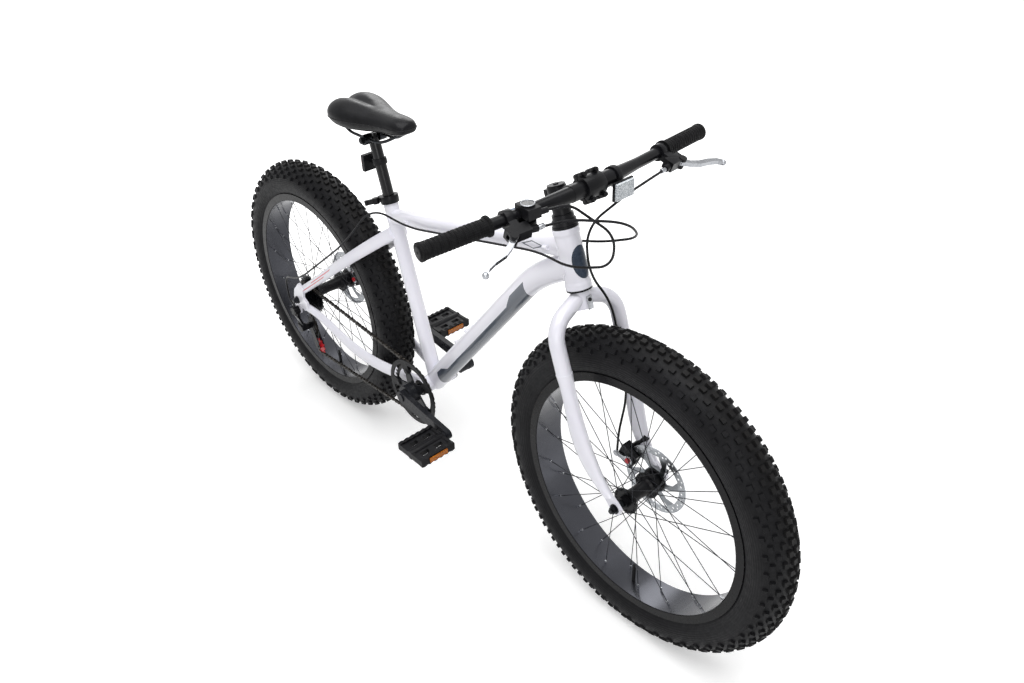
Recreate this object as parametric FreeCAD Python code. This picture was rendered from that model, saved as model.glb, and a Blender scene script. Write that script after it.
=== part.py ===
import FreeCAD, Part
import math
import os
from FreeCAD import Placement, Rotation, Vector

# Fat tyre bicycle. X forward, Y to the rider's left, Z up, ground at Z 0, midway between the axles.
# Driving dimensions, mm
wheelbase = 1170.0
tyre_radius = 370.0
tyre_width = 98.0
knob_height = 6.0
casing_wall = 3.5
tread_pitches = 54
rim_depth = 19.5
rim_wall = 3.0
bead_seat_radius = 279.5
spoke_count = 36
spoke_radius = 0.9
nipple_radius = 2.0
flange_thickness = 4.0
flange_hole_circle = 25.0
valve_radius = 4.0
bearing_radius = 10.0
nose_radius = 13.0
rotor_pilot = 17.5
axle_radius = 5.0
front_hub_width = 135.0
rear_hub_width = 190.0
dropout_thickness = 7.0
rotor_radius = 80.0
rotor_thickness = 1.8
front_rotor_y = 51.0
rear_rotor_y = 70.0
front_flanges = (-41.0, 24.0)
rear_flanges = (-45.0, 40.0)
front_nose = -53.0
front_caliper_angle = 158.0
rear_caliper_angle = 24.0
arm_pivot_radius = 66.0
piston_depth = 16.0
front_arm_angle = 180.0
rear_arm_angle = 129.0

head_angle = 72.0
fork_length = 445.0
fork_rake = 42.0
head_tube_length = 122.0
head_tube_radius = 25.0
head_tube_lip = 1.5
cup_radius = 21.0
steerer_radius = 14.3
blade_radius = 16.0
crown_radius = 20.0
crown_depth = 37.0
blade_spread = 84.0
stem_height = 42.0
stem_reach = 91.0
spacer_stack = 33.0
bar_half_width = 357.0
dial_radius = 12.0
bar_radius = 11.1
bar_clamp_radius = 15.9
bar_backsweep = 38.0
bar_drop = 11.0
bar_bend = 55.0
grip_length = 135.0
grip_radius = 16.0
lever_ys = {-1: 186.0, 1: 212.0}
lever_tilt = -20.0
lever_pivot_ahead = 44.0
lever_pivot_out = 16.0
lever_thickness = 9.0
lever_pin = 2.5
shift_y = -151.0
cable_radius = 2.5

bracket_x = -98.0
bracket_height = 297.0
seat_angle = 75.5
seat_tube_radius = 18.0
seat_tube_length = 491.0
seatpost_radius = 13.6
seatpost_rise = 128.0
seatpost_depth = 110.0
clamp_bolt_radius = 4.0
shell_radius = 21.5
shell_width = 100.0
bracket_bore = 17.5
down_tube_radius = 27.0
boss_bore = 2.5
spindle_radius = 8.5

link_pitch = 12.7
roller_radius = 3.85
chain_line = -70.0
ring_teeth = 38
cog_teeth = (28, 24, 22, 20, 18, 16, 14)
driven_cog = 3
cog_spacing = 5.0
sprocket_thickness = 1.9
pulley_teeth = 11
freewheel_radius = 19.0
link_pin = 2.0
cage_gap = 6.0
cage_length = 68.0
crank_length = 172.0
crank_angle = -6.5
crank_thickness = 14.0
arm_face = -99.0
bolt_circle = 58.0
guard_thickness = 2.5
guard_reach = 13.0
guard_band = 12.0
ring_band = 12.0
pedal_axle_radius = 7.0
pedal_length = 104.0
pedal_width = 92.0
pedal_height = 24.0
pedal_floor = 12.0

running_gap = 0.05
seat_gap = 0.1
free_gap = 0.4

X = Vector(1, 0, 0)
Y = Vector(0, 1, 0)
Z = Vector(0, 0, 1)
SIDES = (-1, 1)

rear_axle = Vector(-wheelbase / 2, 0, tyre_radius)
front_axle = Vector(wheelbase / 2, 0, tyre_radius)
bracket = Vector(bracket_x, 0, bracket_height)
steer_up = Vector(-math.cos(math.radians(head_angle)), 0, math.sin(math.radians(head_angle)))
steer_ahead = Vector(steer_up.z, 0, -steer_up.x)
seat_up = Vector(-math.cos(math.radians(seat_angle)), 0, math.sin(math.radians(seat_angle)))
seat_ahead = Vector(seat_up.z, 0, -seat_up.x)


def steer(up, ahead=0.0, left=0.0):
    """Point in the fork's own frame, measured from the axle along the steering axis."""
    return front_axle + steer_up * up + steer_ahead * (ahead - fork_rake) + Y * left


def seat(up, ahead=0.0, left=0.0):
    """Point in the seat tube's own frame, measured up from the bottom bracket."""
    return bracket + seat_up * up + seat_ahead * ahead + Y * left


def polar(centre, radius, angle, y=0.0):
    """Point round an axle, angle in degrees from forward towards up."""
    turn = math.radians(angle)
    return centre + Vector(radius * math.cos(turn), y, radius * math.sin(turn))


def bar(start, end, radius):
    """Round bar between two points."""
    return Part.makeCylinder(radius, (end - start).Length, start, end - start)


def tube(start, end, outer, inner):
    """Round tube between two points."""
    return bar(start, end, outer).cut(bar(start, end, inner))


def block(centre, along, across, up, size):
    """Box about a centre with its own three directions."""
    half = (along * (size[0] / 2), across * (size[1] / 2), up * (size[2] / 2))
    low = centre - half[2]
    corners = [low + half[0] * a + half[1] * b for a, b in ((-1, -1), (1, -1), (1, 1), (-1, 1))]
    face = Part.Face(Part.makePolygon(corners + corners[:1]))
    return face.extrude(up * size[2])


def turned(profile, centre, axis):
    """Solid of revolution from (radius, distance along the axis) points."""
    side = axis.cross(Z if abs(axis.z) < 0.9 else Y).normalize()
    points = [centre + side * radius + axis * along for radius, along in profile]
    return Part.Face(Part.makePolygon(points + points[:1])).revolve(centre, axis, 360)


def plate(points, thickness):
    """Flat plate from corner points, thickened along Y."""
    return Part.Face(Part.makePolygon(points + points[:1])).extrude(Y * thickness)


def rounded_path(points):
    """Straight runs joined by tangent arcs as large as the runs allow."""
    edges = []
    start = points[0]
    for before, corner, after in zip(points, points[1:], points[2:]):
        back = before - corner
        ahead = after - corner
        reach = 0.45 * min(back.Length, ahead.Length)
        back.normalize()
        ahead.normalize()
        half = back.getAngle(ahead) / 2
        bisector = (back + ahead).normalize()
        middle = corner + bisector * (reach / math.cos(half) - reach * math.tan(half))
        leave = corner + ahead * reach
        edges.append(Part.LineSegment(start, corner + back * reach).toShape())
        edges.append(Part.Arc(corner + back * reach, middle, leave).toShape())
        start = leave
    edges.append(Part.LineSegment(start, points[-1]).toShape())
    return Part.Wire(edges)


def pipe(points, radius):
    """Round bar bent along a rounded path."""
    ring = Part.Wire(Part.makeCircle(radius, points[0], points[1] - points[0]))
    return rounded_path(points).makePipeShell([ring], True, False)


def oval(centre, across, up, half_across, half_up):
    """Upright oval wire."""
    return Part.Wire(Part.Ellipse(centre + up * half_up, centre + across * half_across, centre).toShape())


def rounded_section(centre, across, up, half_across, half_up, corner):
    """Rectangle wire with round corners."""
    edges = []
    spots = ((1, 1), (-1, 1), (-1, -1), (1, -1))
    cut = corner * (1 - math.sqrt(0.5))
    ends = []
    for sx, sz in spots:
        tip = centre + across * (sx * half_across) + up * (sz * half_up)
        first = tip - up * (sz * corner)
        last = tip - across * (sx * corner)
        if sx * sz < 0:
            first, last = last, first
        middle = tip - across * (sx * cut) - up * (sz * cut)
        edges.append(Part.Arc(first, middle, last).toShape())
        ends.append((first, last))
    for (_, last), (first, _) in zip(ends, ends[1:] + ends[:1]):
        edges.append(Part.LineSegment(last, first).toShape())
    return Part.Wire(Part.__sortEdges__(edges))


def union(shapes):
    """One solid from overlapping shapes."""
    return shapes[0].multiFuse(shapes[1:]).removeSplitter()


def group(shapes):
    """Separate solids kept in one node."""
    solids = []
    for shape in shapes:
        solids.extend(shape.Solids)
    return Part.makeCompound(solids)


def biggest(shape):
    """Largest solid of a trimmed shape."""
    return max(shape.Solids, key=lambda solid: solid.Volume)


def mirrored(shape):
    """The same piece on the other side of the centre plane."""
    return shape.mirror(Vector(0, 0, 0), Y)


# Wheels
casing_radius = tyre_width / 2 - 2.0
section_radius = tyre_radius - knob_height - casing_radius
flange_radius = bead_seat_radius + 7.5
rim_inner_radius = flange_radius - rim_depth


def casing_half_width(radius, wall):
    """Half width of the tyre section at a distance from the axle."""
    return math.sqrt((casing_radius - wall) ** 2 - (section_radius - radius) ** 2)


bead_half_width = casing_half_width(flange_radius, 0)
rim_half_width = bead_half_width + seat_gap + rim_wall
knobs = (
    (0.25, 10, 13, 11, 1.0),
    (0.25, 37, 12, 10.5, 0.9),
    (0.25, 65, 11, 11, 0.75),
    (0.75, 0, 13, 11.5, 1.0),
    (0.75, 23.5, 13, 10, 0.95),
    (0.75, 51, 13, 11, 0.85),
)


def tread_knob(turn, lean, length, width, height):
    """One tapered tread block, standing on the casing."""
    wedge = Part.makeWedge(0, 0, 0, 1.0, 1.0, length, height + 1.6, width, width - 1.0, length - 1.0)
    wedge.translate(Vector(-length / 2, casing_radius - 1.6, -width / 2))
    wedge.rotate(Vector(0, 0, 0), X, 90)
    wedge.rotate(Vector(0, 0, 0), X, lean)
    wedge.translate(Vector(0, 0, section_radius))
    wedge.rotate(Vector(0, 0, 0), Y, turn)
    return wedge


def tyre_sector():
    """One repeat of the tread pattern with its length of casing, about the origin."""
    inner_half = casing_half_width(flange_radius, casing_wall)
    seat_radius = bead_seat_radius + seat_gap
    crown = section_radius + casing_radius
    right = Vector(0, -bead_half_width, flange_radius)
    left = Vector(0, bead_half_width, flange_radius)
    inner_left = Vector(0, inner_half, flange_radius)
    inner_right = Vector(0, -inner_half, flange_radius)
    foot_ys = (bead_half_width, inner_half - 1, 1 - inner_half, -bead_half_width)
    feet = [Vector(0, y, seat_radius) for y in foot_ys]
    edges = [
        Part.Arc(right, Vector(0, 0, crown), left).toShape(),
        Part.LineSegment(left, feet[0]).toShape(),
        Part.LineSegment(feet[0], feet[1]).toShape(),
        Part.LineSegment(feet[1], inner_left).toShape(),
        Part.Arc(inner_left, Vector(0, 0, crown - casing_wall), inner_right).toShape(),
        Part.LineSegment(inner_right, feet[2]).toShape(),
        Part.LineSegment(feet[2], feet[3]).toShape(),
        Part.LineSegment(feet[3], right).toShape(),
    ]
    pitch = 360.0 / tread_pitches
    sector = Part.Face(Part.Wire(edges)).revolve(Vector(0, 0, 0), Y, pitch)
    blocks = []
    for place, lean, length, width, height in knobs:
        for side in SIDES if lean else (1,):
            blocks.append(tread_knob(place * pitch, side * lean, length, width, height * knob_height))
    return sector.multiFuse(blocks)


def tyre():
    """Whole tyre: the sector's skin turned round the axle and sewn shut."""
    pitch = 360.0 / tread_pitches
    ends = [polar(Vector(0, 0, 0), 1.0, -turn) for turn in (0.0, pitch)]
    skin = []
    for face in tyre_sector().Faces:
        on_end = [all(abs(vertex.Point.dot(end)) < 0.01 for vertex in face.Vertexes) for end in ends]
        if not any(on_end):
            skin.append(face)
    faces = []
    for count in range(tread_pitches):
        for face in skin:
            turned_face = face.copy()
            turned_face.rotate(Vector(0, 0, 0), Y, count * pitch)
            faces.append(turned_face)
    shell = Part.makeCompound(faces)
    shell.sewShape()
    return Part.makeSolid(shell.Shells[0])


def rim_holes():
    """Angles, side offsets and hub holes of one wheel's spokes."""
    step = 720.0 / spoke_count
    holes = []
    for side in SIDES:
        for count in range(spoke_count // 2):
            outside = count % 2 == 0
            hub_angle = count * step + (step / 4 if side > 0 else -step / 4)
            swing = 3 * step if outside else -3 * step
            holes.append((side, outside, hub_angle, hub_angle + swing))
    return holes


def spoke_lay(outside):
    """Distance of a spoke from the middle of its flange; outer spokes stand off to clear the edge."""
    return flange_thickness / 2 + spoke_radius + (1.3 if outside else seat_gap)


def spoke_line(side, outside, hub_angle, rim_angle, flange_y):
    """Start of a spoke at its flange and its end at the rim."""
    lay = spoke_lay(outside)
    start_y = flange_y + side * (lay if outside else -lay)
    start = polar(Vector(0, 0, 0), flange_hole_circle, hub_angle, start_y)
    end_y = side * (16.0 if outside else 11.0)
    end = polar(Vector(0, 0, 0), rim_inner_radius + rim_wall + 2.0, rim_angle, end_y)
    return start, end


def spoke(side, outside, hub_angle, rim_angle, flange_y):
    """Spoke with its bent head in the flange and its nipple in the rim."""
    start, end = spoke_line(side, outside, hub_angle, rim_angle, flange_y)
    run = (end - start).normalize()
    inward = Y * (-side if outside else side)
    across = spoke_lay(outside) + flange_thickness / 2 + seat_gap
    elbow = bar(start, start + inward * across, spoke_radius)
    head = bar(start + inward * across, start + inward * (across + 1.4), 2 * spoke_radius)
    nipple = bar(end - run * 16.0, end - run * 1.0, nipple_radius)
    ball = Part.makeSphere(spoke_radius, start)
    return union([bar(start, end - run * 2.0, spoke_radius), ball, elbow, head, nipple])


def spokes(axle, flanges):
    """All spokes of a wheel, separate solids."""
    made = []
    for hole in rim_holes():
        made.append(spoke(*hole, flanges[0] if hole[0] < 0 else flanges[1]))
    wheel = group(made)
    wheel.translate(axle)
    return wheel


def rim(axle, flanges):
    """Deep channel rim with a spoke hole for each nipple and one for the valve."""
    ledge = bead_half_width - 9.0
    floor = rim_inner_radius + rim_wall
    half = [(rim_inner_radius + 1.5, rim_half_width), (flange_radius, rim_half_width),
            (flange_radius, rim_half_width - rim_wall), (bead_seat_radius, rim_half_width - rim_wall),
            (bead_seat_radius, ledge), (floor, ledge - 5.0)]
    other = [(radius, -y) for radius, y in reversed(half)]
    under = [(rim_inner_radius, 1.5 - rim_half_width), (rim_inner_radius, rim_half_width - 1.5)]
    body = turned(half + other + under, Vector(0, 0, 0), Y)
    drills = []
    for hole in rim_holes():
        start, end = spoke_line(*hole, flanges[0] if hole[0] < 0 else flanges[1])
        run = (end - start).normalize()
        drills.append(bar(end - run * 20.0, end + run * 10.0, nipple_radius + seat_gap))
    drills.append(bar(Vector(0, 0, -section_radius), Vector(0, 0, -220), valve_radius + seat_gap))
    body = body.cut(Part.makeCompound(drills))
    body.translate(axle)
    return body


def inner_tube(axle):
    """Thin air tube inside the tyre with its valve through the rim."""
    outer = casing_radius - casing_wall - free_gap
    skin = Part.makeTorus(section_radius, outer, Vector(0, 0, 0), Y)
    air = Part.makeTorus(section_radius, outer - 1.5, Vector(0, 0, 0), Y)
    foot = Vector(0, 0, -section_radius + outer - 1.0)
    stem = bar(foot, Vector(0, 0, -232), valve_radius)
    cap = bar(Vector(0, 0, -232), Vector(0, 0, -222), valve_radius - 0.8)
    whole = union([skin, stem, cap]).cut(air)
    whole.translate(axle)
    return whole


def hub_shell(axle, flanges, rotor_y, nose_y):
    """Hub shell with two drilled flanges and a rotor seat; a nose carries the freewheel."""
    right, left = flanges
    edge = flange_hole_circle + 4.5
    half = flange_thickness / 2
    seat_y = rotor_y - rotor_thickness / 2
    foot = flange_hole_circle - 4.0
    profile = [(bearing_radius, nose_y), (nose_radius, nose_y), (nose_radius, right - half),
               (edge, right - half), (edge, right + half), (foot, right + half),
               (17.0, right + half + 5), (15.0, (right + left) / 2),
               (17.0, left - half - 5), (foot, left - half), (edge, left - half), (edge, left + half),
               (foot, left + half), (foot, seat_y - 4.0), (27.0, seat_y - 4.0), (27.0, seat_y),
               (rotor_pilot, seat_y), (rotor_pilot, rotor_y + 3.0), (bearing_radius, rotor_y + 3.0)]
    body = turned(profile, Vector(0, 0, 0), Y)
    drills = []
    for side, outside, hub_angle, rim_angle in rim_holes():
        flange_y = right if side < 0 else left
        start = polar(Vector(0, 0, 0), flange_hole_circle, hub_angle, flange_y - flange_thickness)
        drills.append(bar(start, start + Y * (2 * flange_thickness), spoke_radius + 2 * seat_gap))
    body = body.cut(Part.makeCompound(drills))
    rings = [body]
    for end in (nose_y + 1.0, rotor_y - 9.0):
        low = Vector(0, end, 0)
        rings.append(tube(low, low + Y * 10.0, bearing_radius - running_gap, axle_radius + running_gap))
    hub = group(rings)
    hub.translate(axle)
    return hub


def rotor(axle, y):
    """Brake disc: outer track with slots, slanted arms, bolt ring and its six bolts."""
    low = Vector(axle.x, y - rotor_thickness / 2, axle.z)
    edges = (rotor_radius, rotor_pilot + seat_gap)
    wires = [Part.Wire(Part.makeCircle(radius, low, Y)) for radius in edges]
    for count in range(6):
        turn = count * 60.0
        window = [polar(low, 30, turn + 8), polar(low, 30, turn + 44), polar(low, 46, turn + 56),
                  polar(low, 64, turn + 66), polar(low, 64, turn + 46), polar(low, 64, turn + 26),
                  polar(low, 46, turn + 12)]
        wires.append(Part.makePolygon(window + window[:1]))
        wires.append(Part.Wire(Part.makeCircle(2.6, polar(low, 23, turn), Y)))
        for slot in range(4):
            lean = turn + slot * 15.0
            wires.append(Part.Wire(Part.makeCircle(2.6, polar(low, 69.5, lean + 3), Y)))
            wires.append(Part.Wire(Part.makeCircle(2.2, polar(low, 75.0, lean - 3), Y)))
    disc = Part.Face(wires[0]).cut(Part.makeCompound([Part.Face(wire) for wire in wires[1:]]))
    pieces = [disc.extrude(Y * rotor_thickness)]
    for count in range(6):
        foot = polar(low, 23, count * 60.0)
        head = bar(foot + Y * (rotor_thickness + seat_gap), foot + Y * (rotor_thickness + 2.6), 4.2)
        pieces.append(head.fuse(bar(foot, foot + Y * (rotor_thickness + 1.0), 2.5)).removeSplitter())
    return group(pieces)


def hexagon(start, direction, across, length):
    """Hexagon bar."""
    side = X if abs(direction.x) < 0.9 else Z
    other = direction.cross(side)
    radius = across / math.sqrt(3)
    points = []
    for count in range(6):
        turn = math.radians(60 * count)
        points.append(start + side * (radius * math.cos(turn)) + other * (radius * math.sin(turn)))
    return Part.Face(Part.makePolygon(points + points[:1])).extrude(direction * length)


def wheel_axle(axle, hub_width, inner_ends):
    """Axle rod with lock nuts inside the dropouts and track nuts outside."""
    half = hub_width / 2
    out = half + dropout_thickness
    parts = [bar(axle - Y * (out + 14), axle + Y * (out + 14), axle_radius)]
    pieces = []
    for side, inner in zip(SIDES, inner_ends):
        way = Y * side
        start = axle + way * (inner + free_gap)
        parts.append(bar(start, axle + way * (half - seat_gap), 8.5))
        nut = hexagon(axle + way * (out + seat_gap), way, 15.0, 9.0)
        collar = bar(axle + way * (out + seat_gap), axle + way * (out + 2.0), 11.0)
        bore = bar(axle + way * out, axle + way * (out + 40), axle_radius + running_gap)
        pieces.append(union([nut, collar]).cut(bore))
    return group([union(parts)] + pieces)


rear_nose = chain_line + driven_cog * cog_spacing - 6 * cog_spacing - 5.0


# Drivetrain: chain path and sprockets
def pitch_radius(teeth):
    """Radius through the roller centres."""
    return link_pitch / (2 * math.sin(math.pi / teeth))


guide_centre = Vector(rear_axle.x - 1.0, 0, rear_axle.z - 96.0)


def tangent_points(first, second):
    """Where the chain leaves one pitch circle and meets the next; sense +1 is clockwise from the right."""
    centre_a, radius_a, sense_a = first
    centre_b, radius_b, sense_b = second
    run = centre_b - centre_a
    ahead = math.atan2(run.z, run.x)
    lean = math.asin((sense_a * radius_a - sense_b * radius_b) / run.Length)
    normal = ahead + math.pi / 2 - lean
    way = Vector(math.cos(normal), 0, math.sin(normal))
    return centre_a + way * (sense_a * radius_a), centre_b + way * (sense_b * radius_b)


def chain_course(cage_angle):
    """Arcs and runs of the closed chain path as (kind, data, length)."""
    tension_centre = polar(guide_centre, cage_length, cage_angle)
    wheels = [(rear_axle, pitch_radius(cog_teeth[driven_cog]), 1), (bracket, pitch_radius(ring_teeth), 1),
              (tension_centre, pitch_radius(pulley_teeth), 1),
              (guide_centre, pitch_radius(pulley_teeth), -1)]
    links = [tangent_points(a, b) for a, b in zip(wheels, wheels[1:] + wheels[:1])]
    course = []
    for count, (centre, radius, sense) in enumerate(wheels):
        arrive = links[count - 1][1] - centre
        leave = links[count][0] - centre
        begin = math.atan2(arrive.z, arrive.x)
        sweep = (sense * (begin - math.atan2(leave.z, leave.x))) % (2 * math.pi)
        course.append(("arc", (centre, radius, sense, begin), radius * sweep))
        course.append(("run", links[count], (links[count][1] - links[count][0]).Length))
    return course


def course_point(course, distance):
    """Point on the chain path."""
    distance = distance % sum(part[2] for part in course)
    for kind, data, length in course:
        if distance <= length:
            break
        distance -= length
    if kind == "arc":
        centre, radius, sense, begin = data
        angle = begin - sense * distance / radius
        return centre + Vector(radius * math.cos(angle), 0, radius * math.sin(angle))
    return data[0] + (data[1] - data[0]) * (distance / length)


def chain_walk(course, count):
    """Distances of the pins, each one pitch of straight distance on from the last."""
    spots = [0.0]
    for _ in range(count):
        here = course_point(course, spots[-1])
        low = link_pitch * 0.99
        high = link_pitch * 1.2
        for _ in range(30):
            step = (low + high) / 2
            if (course_point(course, spots[-1] + step) - here).Length < link_pitch:
                low = step
            else:
                high = step
        spots.append(spots[-1] + step)
    return spots


def fitted_chain():
    """Even number of links and the cage angle that takes up the slack."""
    nominal = chain_course(-70.0)
    links = 2 * int(sum(part[2] for part in nominal) / link_pitch / 2)
    low, high = -100.0, -40.0
    for _ in range(24):
        angle = (low + high) / 2
        course = chain_course(angle)
        excess = sum(part[2] for part in course) - chain_walk(course, links)[-1]
        if excess < 0:
            high = angle
        else:
            low = angle
    points = [course_point(course, spot) for spot in chain_walk(course, links)[:-1]]
    return angle, points


cage_angle, chain_points = fitted_chain()
tension_centre = polar(guide_centre, cage_length, cage_angle)


def sprocket_phase(centre, teeth):
    """Angle of a roller resting on this sprocket."""
    radius = pitch_radius(teeth)
    resting = min(chain_points, key=lambda point: abs((point - centre).Length - radius))
    return math.degrees(math.atan2(resting.z - centre.z, resting.x - centre.x))


def sprocket_face(centre, teeth, bore, y, phase=0.0):
    """Toothed flat outline: a roller seat, two flanks and a tip for each tooth."""
    radius = pitch_radius(teeth)
    seat_radius = roller_radius + 0.3
    lift = math.radians(66)
    step = 360.0 / teeth
    tip_radius = radius + 2.6
    tip_turn = step / 2 - math.degrees(0.8 / tip_radius)
    seats = []
    tips = []
    for count in range(teeth):
        turn = phase + count * step
        out = polar(Vector(0, 0, 0), 1.0, turn)
        side = polar(Vector(0, 0, 0), 1.0, turn + 90)
        middle = polar(centre, radius, turn, y)
        low = middle - out * (seat_radius * math.cos(lift))
        reach = side * (seat_radius * math.sin(lift))
        seats.append((low - reach, middle - out * seat_radius, low + reach))
        tips.append([polar(centre, tip_radius, turn + lean, y) for lean in (tip_turn, step - tip_turn)])
    edges = []
    for count in range(teeth):
        start, bottom, end = seats[count]
        after = seats[(count + 1) % teeth][0]
        first, second = tips[count]
        edges.append(Part.Arc(start, bottom, end).toShape())
        edges.append(Part.LineSegment(end, first).toShape())
        edges.append(Part.LineSegment(first, second).toShape())
        edges.append(Part.LineSegment(second, after).toShape())
    face = Part.Face(Part.Wire(edges))
    return face.cut(Part.Face(Part.Wire(Part.makeCircle(bore, centre + Y * y, Y))))


def sprocket(centre, teeth, bore, y, phase=0.0):
    """Toothed disc centred on a plane."""
    face = sprocket_face(centre, teeth, bore, y - sprocket_thickness / 2, phase)
    return face.extrude(Y * sprocket_thickness)


def stadium(radius, y, thickness):
    """Chain side plate between two pins, waisted in the middle."""
    waist = radius * 0.72
    low = Vector(0, y, 0)
    ends = [polar(low, radius, turn) for turn in (60, 180, 300)]
    others = [polar(low + X * link_pitch, radius, turn) for turn in (240, 0, 120)]
    edges = [Part.Arc(*ends).toShape(),
             Part.Arc(ends[2], low + Vector(link_pitch / 2, 0, -waist), others[0]).toShape(),
             Part.Arc(*others).toShape(),
             Part.Arc(others[2], low + Vector(link_pitch / 2, 0, waist), ends[0]).toShape()]
    return Part.Face(Part.Wire(edges)).extrude(Y * thickness)


def chain():
    """Inner links with rollers and outer links with pins, laid along the path."""
    pins = (Vector(0, 0, 0), X * link_pitch)
    inner_parts = [stadium(4.1, 1.2, 0.9), stadium(4.1, -2.1, 0.9)]
    outer_parts = [stadium(4.1, 2.3, 0.9), stadium(4.1, -3.2, 0.9)]
    bores = []
    for pin in pins:
        inner_parts.append(bar(pin - Y * 1.6, pin + Y * 1.6, roller_radius))
        bores.append(bar(pin - Y * 3, pin + Y * 3, 1.9))
        outer_parts.append(bar(pin - Y * 3.6, pin + Y * 3.6, 1.8))
    inner = union(inner_parts).cut(Part.makeCompound(bores))
    outer = union(outer_parts)
    made = []
    for count, start in enumerate(chain_points):
        run = chain_points[(count + 1) % len(chain_points)] - start
        link = (inner if count % 2 == 0 else outer).copy()
        lean = math.degrees(math.atan2(run.z, run.x))
        link.Placement = Placement(start + Y * chain_line, Rotation(Y, -lean))
        made.append(link)
    return group(made)


def cog_y(number):
    """Plane of a cog, counted from the largest."""
    return chain_line + (driven_cog - number) * cog_spacing


def freewheel():
    """Freewheel body with ribs between the cogs, and the cogs."""
    half = sprocket_thickness / 2 + seat_gap
    profile = [(nose_radius + free_gap, cog_y(0) + 3.5), (24.0, cog_y(0) + 3.5)]
    for number in range(len(cog_teeth)):
        y = cog_y(number)
        rib = 22.0 if number else 24.0
        profile += [(rib, y + half), (freewheel_radius, y + half)]
        profile += [(freewheel_radius, y - half), (22.0, y - half)]
    profile += [(22.0, cog_y(6) - 4), (nose_radius + free_gap, cog_y(6) - 4)]
    pieces = [turned(profile, rear_axle, Y)]
    driven = cog_teeth[driven_cog]
    for number, teeth in enumerate(cog_teeth):
        phase = sprocket_phase(rear_axle, driven) if number == driven_cog else number * 5.0
        pieces.append(sprocket(rear_axle, teeth, freewheel_radius + seat_gap, cog_y(number), phase))
    return group(pieces)


# Cranks
spider_inner = chain_line - sprocket_thickness / 2 - seat_gap
spider_outer = spider_inner - 4.5


def pedal_eye(side):
    """Centre of the pedal thread on the inner face of an arm."""
    turn = crank_angle if side < 0 else crank_angle + 180
    return polar(bracket, crank_length, turn, side * -arm_face)


def crank_arm(side):
    """Tapered arm between the spindle boss and the pedal eye."""
    near = side * -arm_face
    end = pedal_eye(side)
    way = crank_angle if side < 0 else crank_angle + 180
    slope = math.degrees(math.acos((17.0 - 13.0) / crank_length))
    points = []
    for lift in (slope, -slope):
        points.append((polar(bracket, 17.0, way + lift, near), polar(end, 13.0, way + lift)))
    (top_a, top_b), (low_a, low_b) = points
    edges = [Part.LineSegment(top_a, top_b).toShape(),
             Part.Arc(top_b, polar(end, 13.0, way), low_b).toShape(),
             Part.LineSegment(low_b, low_a).toShape(),
             Part.Arc(low_a, polar(bracket, 17.0, way + 180, near), top_a).toShape()]
    arm = Part.Face(Part.Wire(edges)).extrude(Y * (side * crank_thickness))
    boss = bar(bracket + Y * (side * (shell_width / 2 + 24)), bracket + Y * near, 16.0)
    return arm, boss, end


def crank_arms():
    """Both arms; the right one carries a five-armed spider."""
    made = []
    for side in SIDES:
        arm, boss, eye = crank_arm(side)
        parts = [arm, boss]
        if side < 0:
            parts.append(bar(bracket + Y * spider_inner, bracket + Y * arm_face, 26.0))
            for count in range(5):
                turn = 72 * count + 36
                tip = polar(bracket, bolt_circle, turn, spider_inner)
                corners = ((24, -42), (bolt_circle, -8), (bolt_circle, 8), (24, 42))
                points = [polar(bracket, radius, turn + lean, spider_inner) for radius, lean in corners]
                parts.append(plate(points, spider_outer - spider_inner))
                parts.append(bar(tip, tip + Y * (spider_outer - spider_inner), 8.2))
        drills = [bar(bracket, bracket + Y * (side * 140), spindle_radius + running_gap)]
        drills.append(bar(eye, eye + Y * (side * crank_thickness), pedal_axle_radius + running_gap))
        if side < 0:
            drills += ring_bolt_holes()
        made.append(union(parts).cut(Part.makeCompound(drills)))
    return group(made)


def ring_bolt_holes(radius=4.1):
    """Cylinders through the five chainring bolt positions."""
    holes = []
    for count in range(5):
        foot = polar(bracket, bolt_circle, 72 * count + 36, chain_line + 10)
        holes.append(bar(foot, foot - Y * 30, radius))
    return holes


def ring_lugs(inner, y, thickness):
    """Five lugs from a ring's inner edge in to the chainring bolts."""
    lugs = []
    for count in range(5):
        turn = 72 * count + 36
        corners = ((bolt_circle, -9), (inner + 1.5, -11), (inner + 1.5, 11), (bolt_circle, 9))
        lugs.append(plate([polar(bracket, radius, turn + lean, y) for radius, lean in corners], thickness))
        spot = polar(bracket, bolt_circle, turn, y)
        lugs.append(bar(spot, spot + Y * thickness, 9.0))
    return lugs


def chainring():
    """Toothed ring on five lugs, with its bolts."""
    phase = sprocket_phase(bracket, ring_teeth)
    inner = pitch_radius(ring_teeth) - ring_band
    ring = sprocket(bracket, ring_teeth, inner, chain_line, phase)
    ring = union([ring] + ring_lugs(inner, chain_line - sprocket_thickness / 2, sprocket_thickness))
    pieces = [ring.cut(Part.makeCompound(ring_bolt_holes()))]
    inside = chain_line + sprocket_thickness / 2
    outside = spider_outer - guard_thickness
    for count in range(5):
        spot = polar(bracket, bolt_circle, 72 * count + 36)
        shank = bar(spot + Y * (inside + 1.5), spot + Y * (outside - 1.5), 4.0)
        back = bar(spot + Y * (inside + seat_gap), spot + Y * (inside + 1.5), 6.0)
        front = bar(spot + Y * (outside - 2 * seat_gap), spot + Y * (outside - 1.7), 6.0)
        pieces.append(union([shank, back, front]))
    return group(pieces)


def chain_guard():
    """Narrow ring outside the chain on five lugs, bolted with the chainring."""
    side = spider_outer - seat_gap - guard_thickness
    low = bracket + Y * side
    outer = pitch_radius(ring_teeth) + guard_reach
    inner = outer - guard_band
    band = tube(low, low + Y * guard_thickness, outer, inner)
    ring = union([band] + ring_lugs(inner, side, guard_thickness))
    return ring.cut(Part.makeCompound(ring_bolt_holes()))


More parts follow.
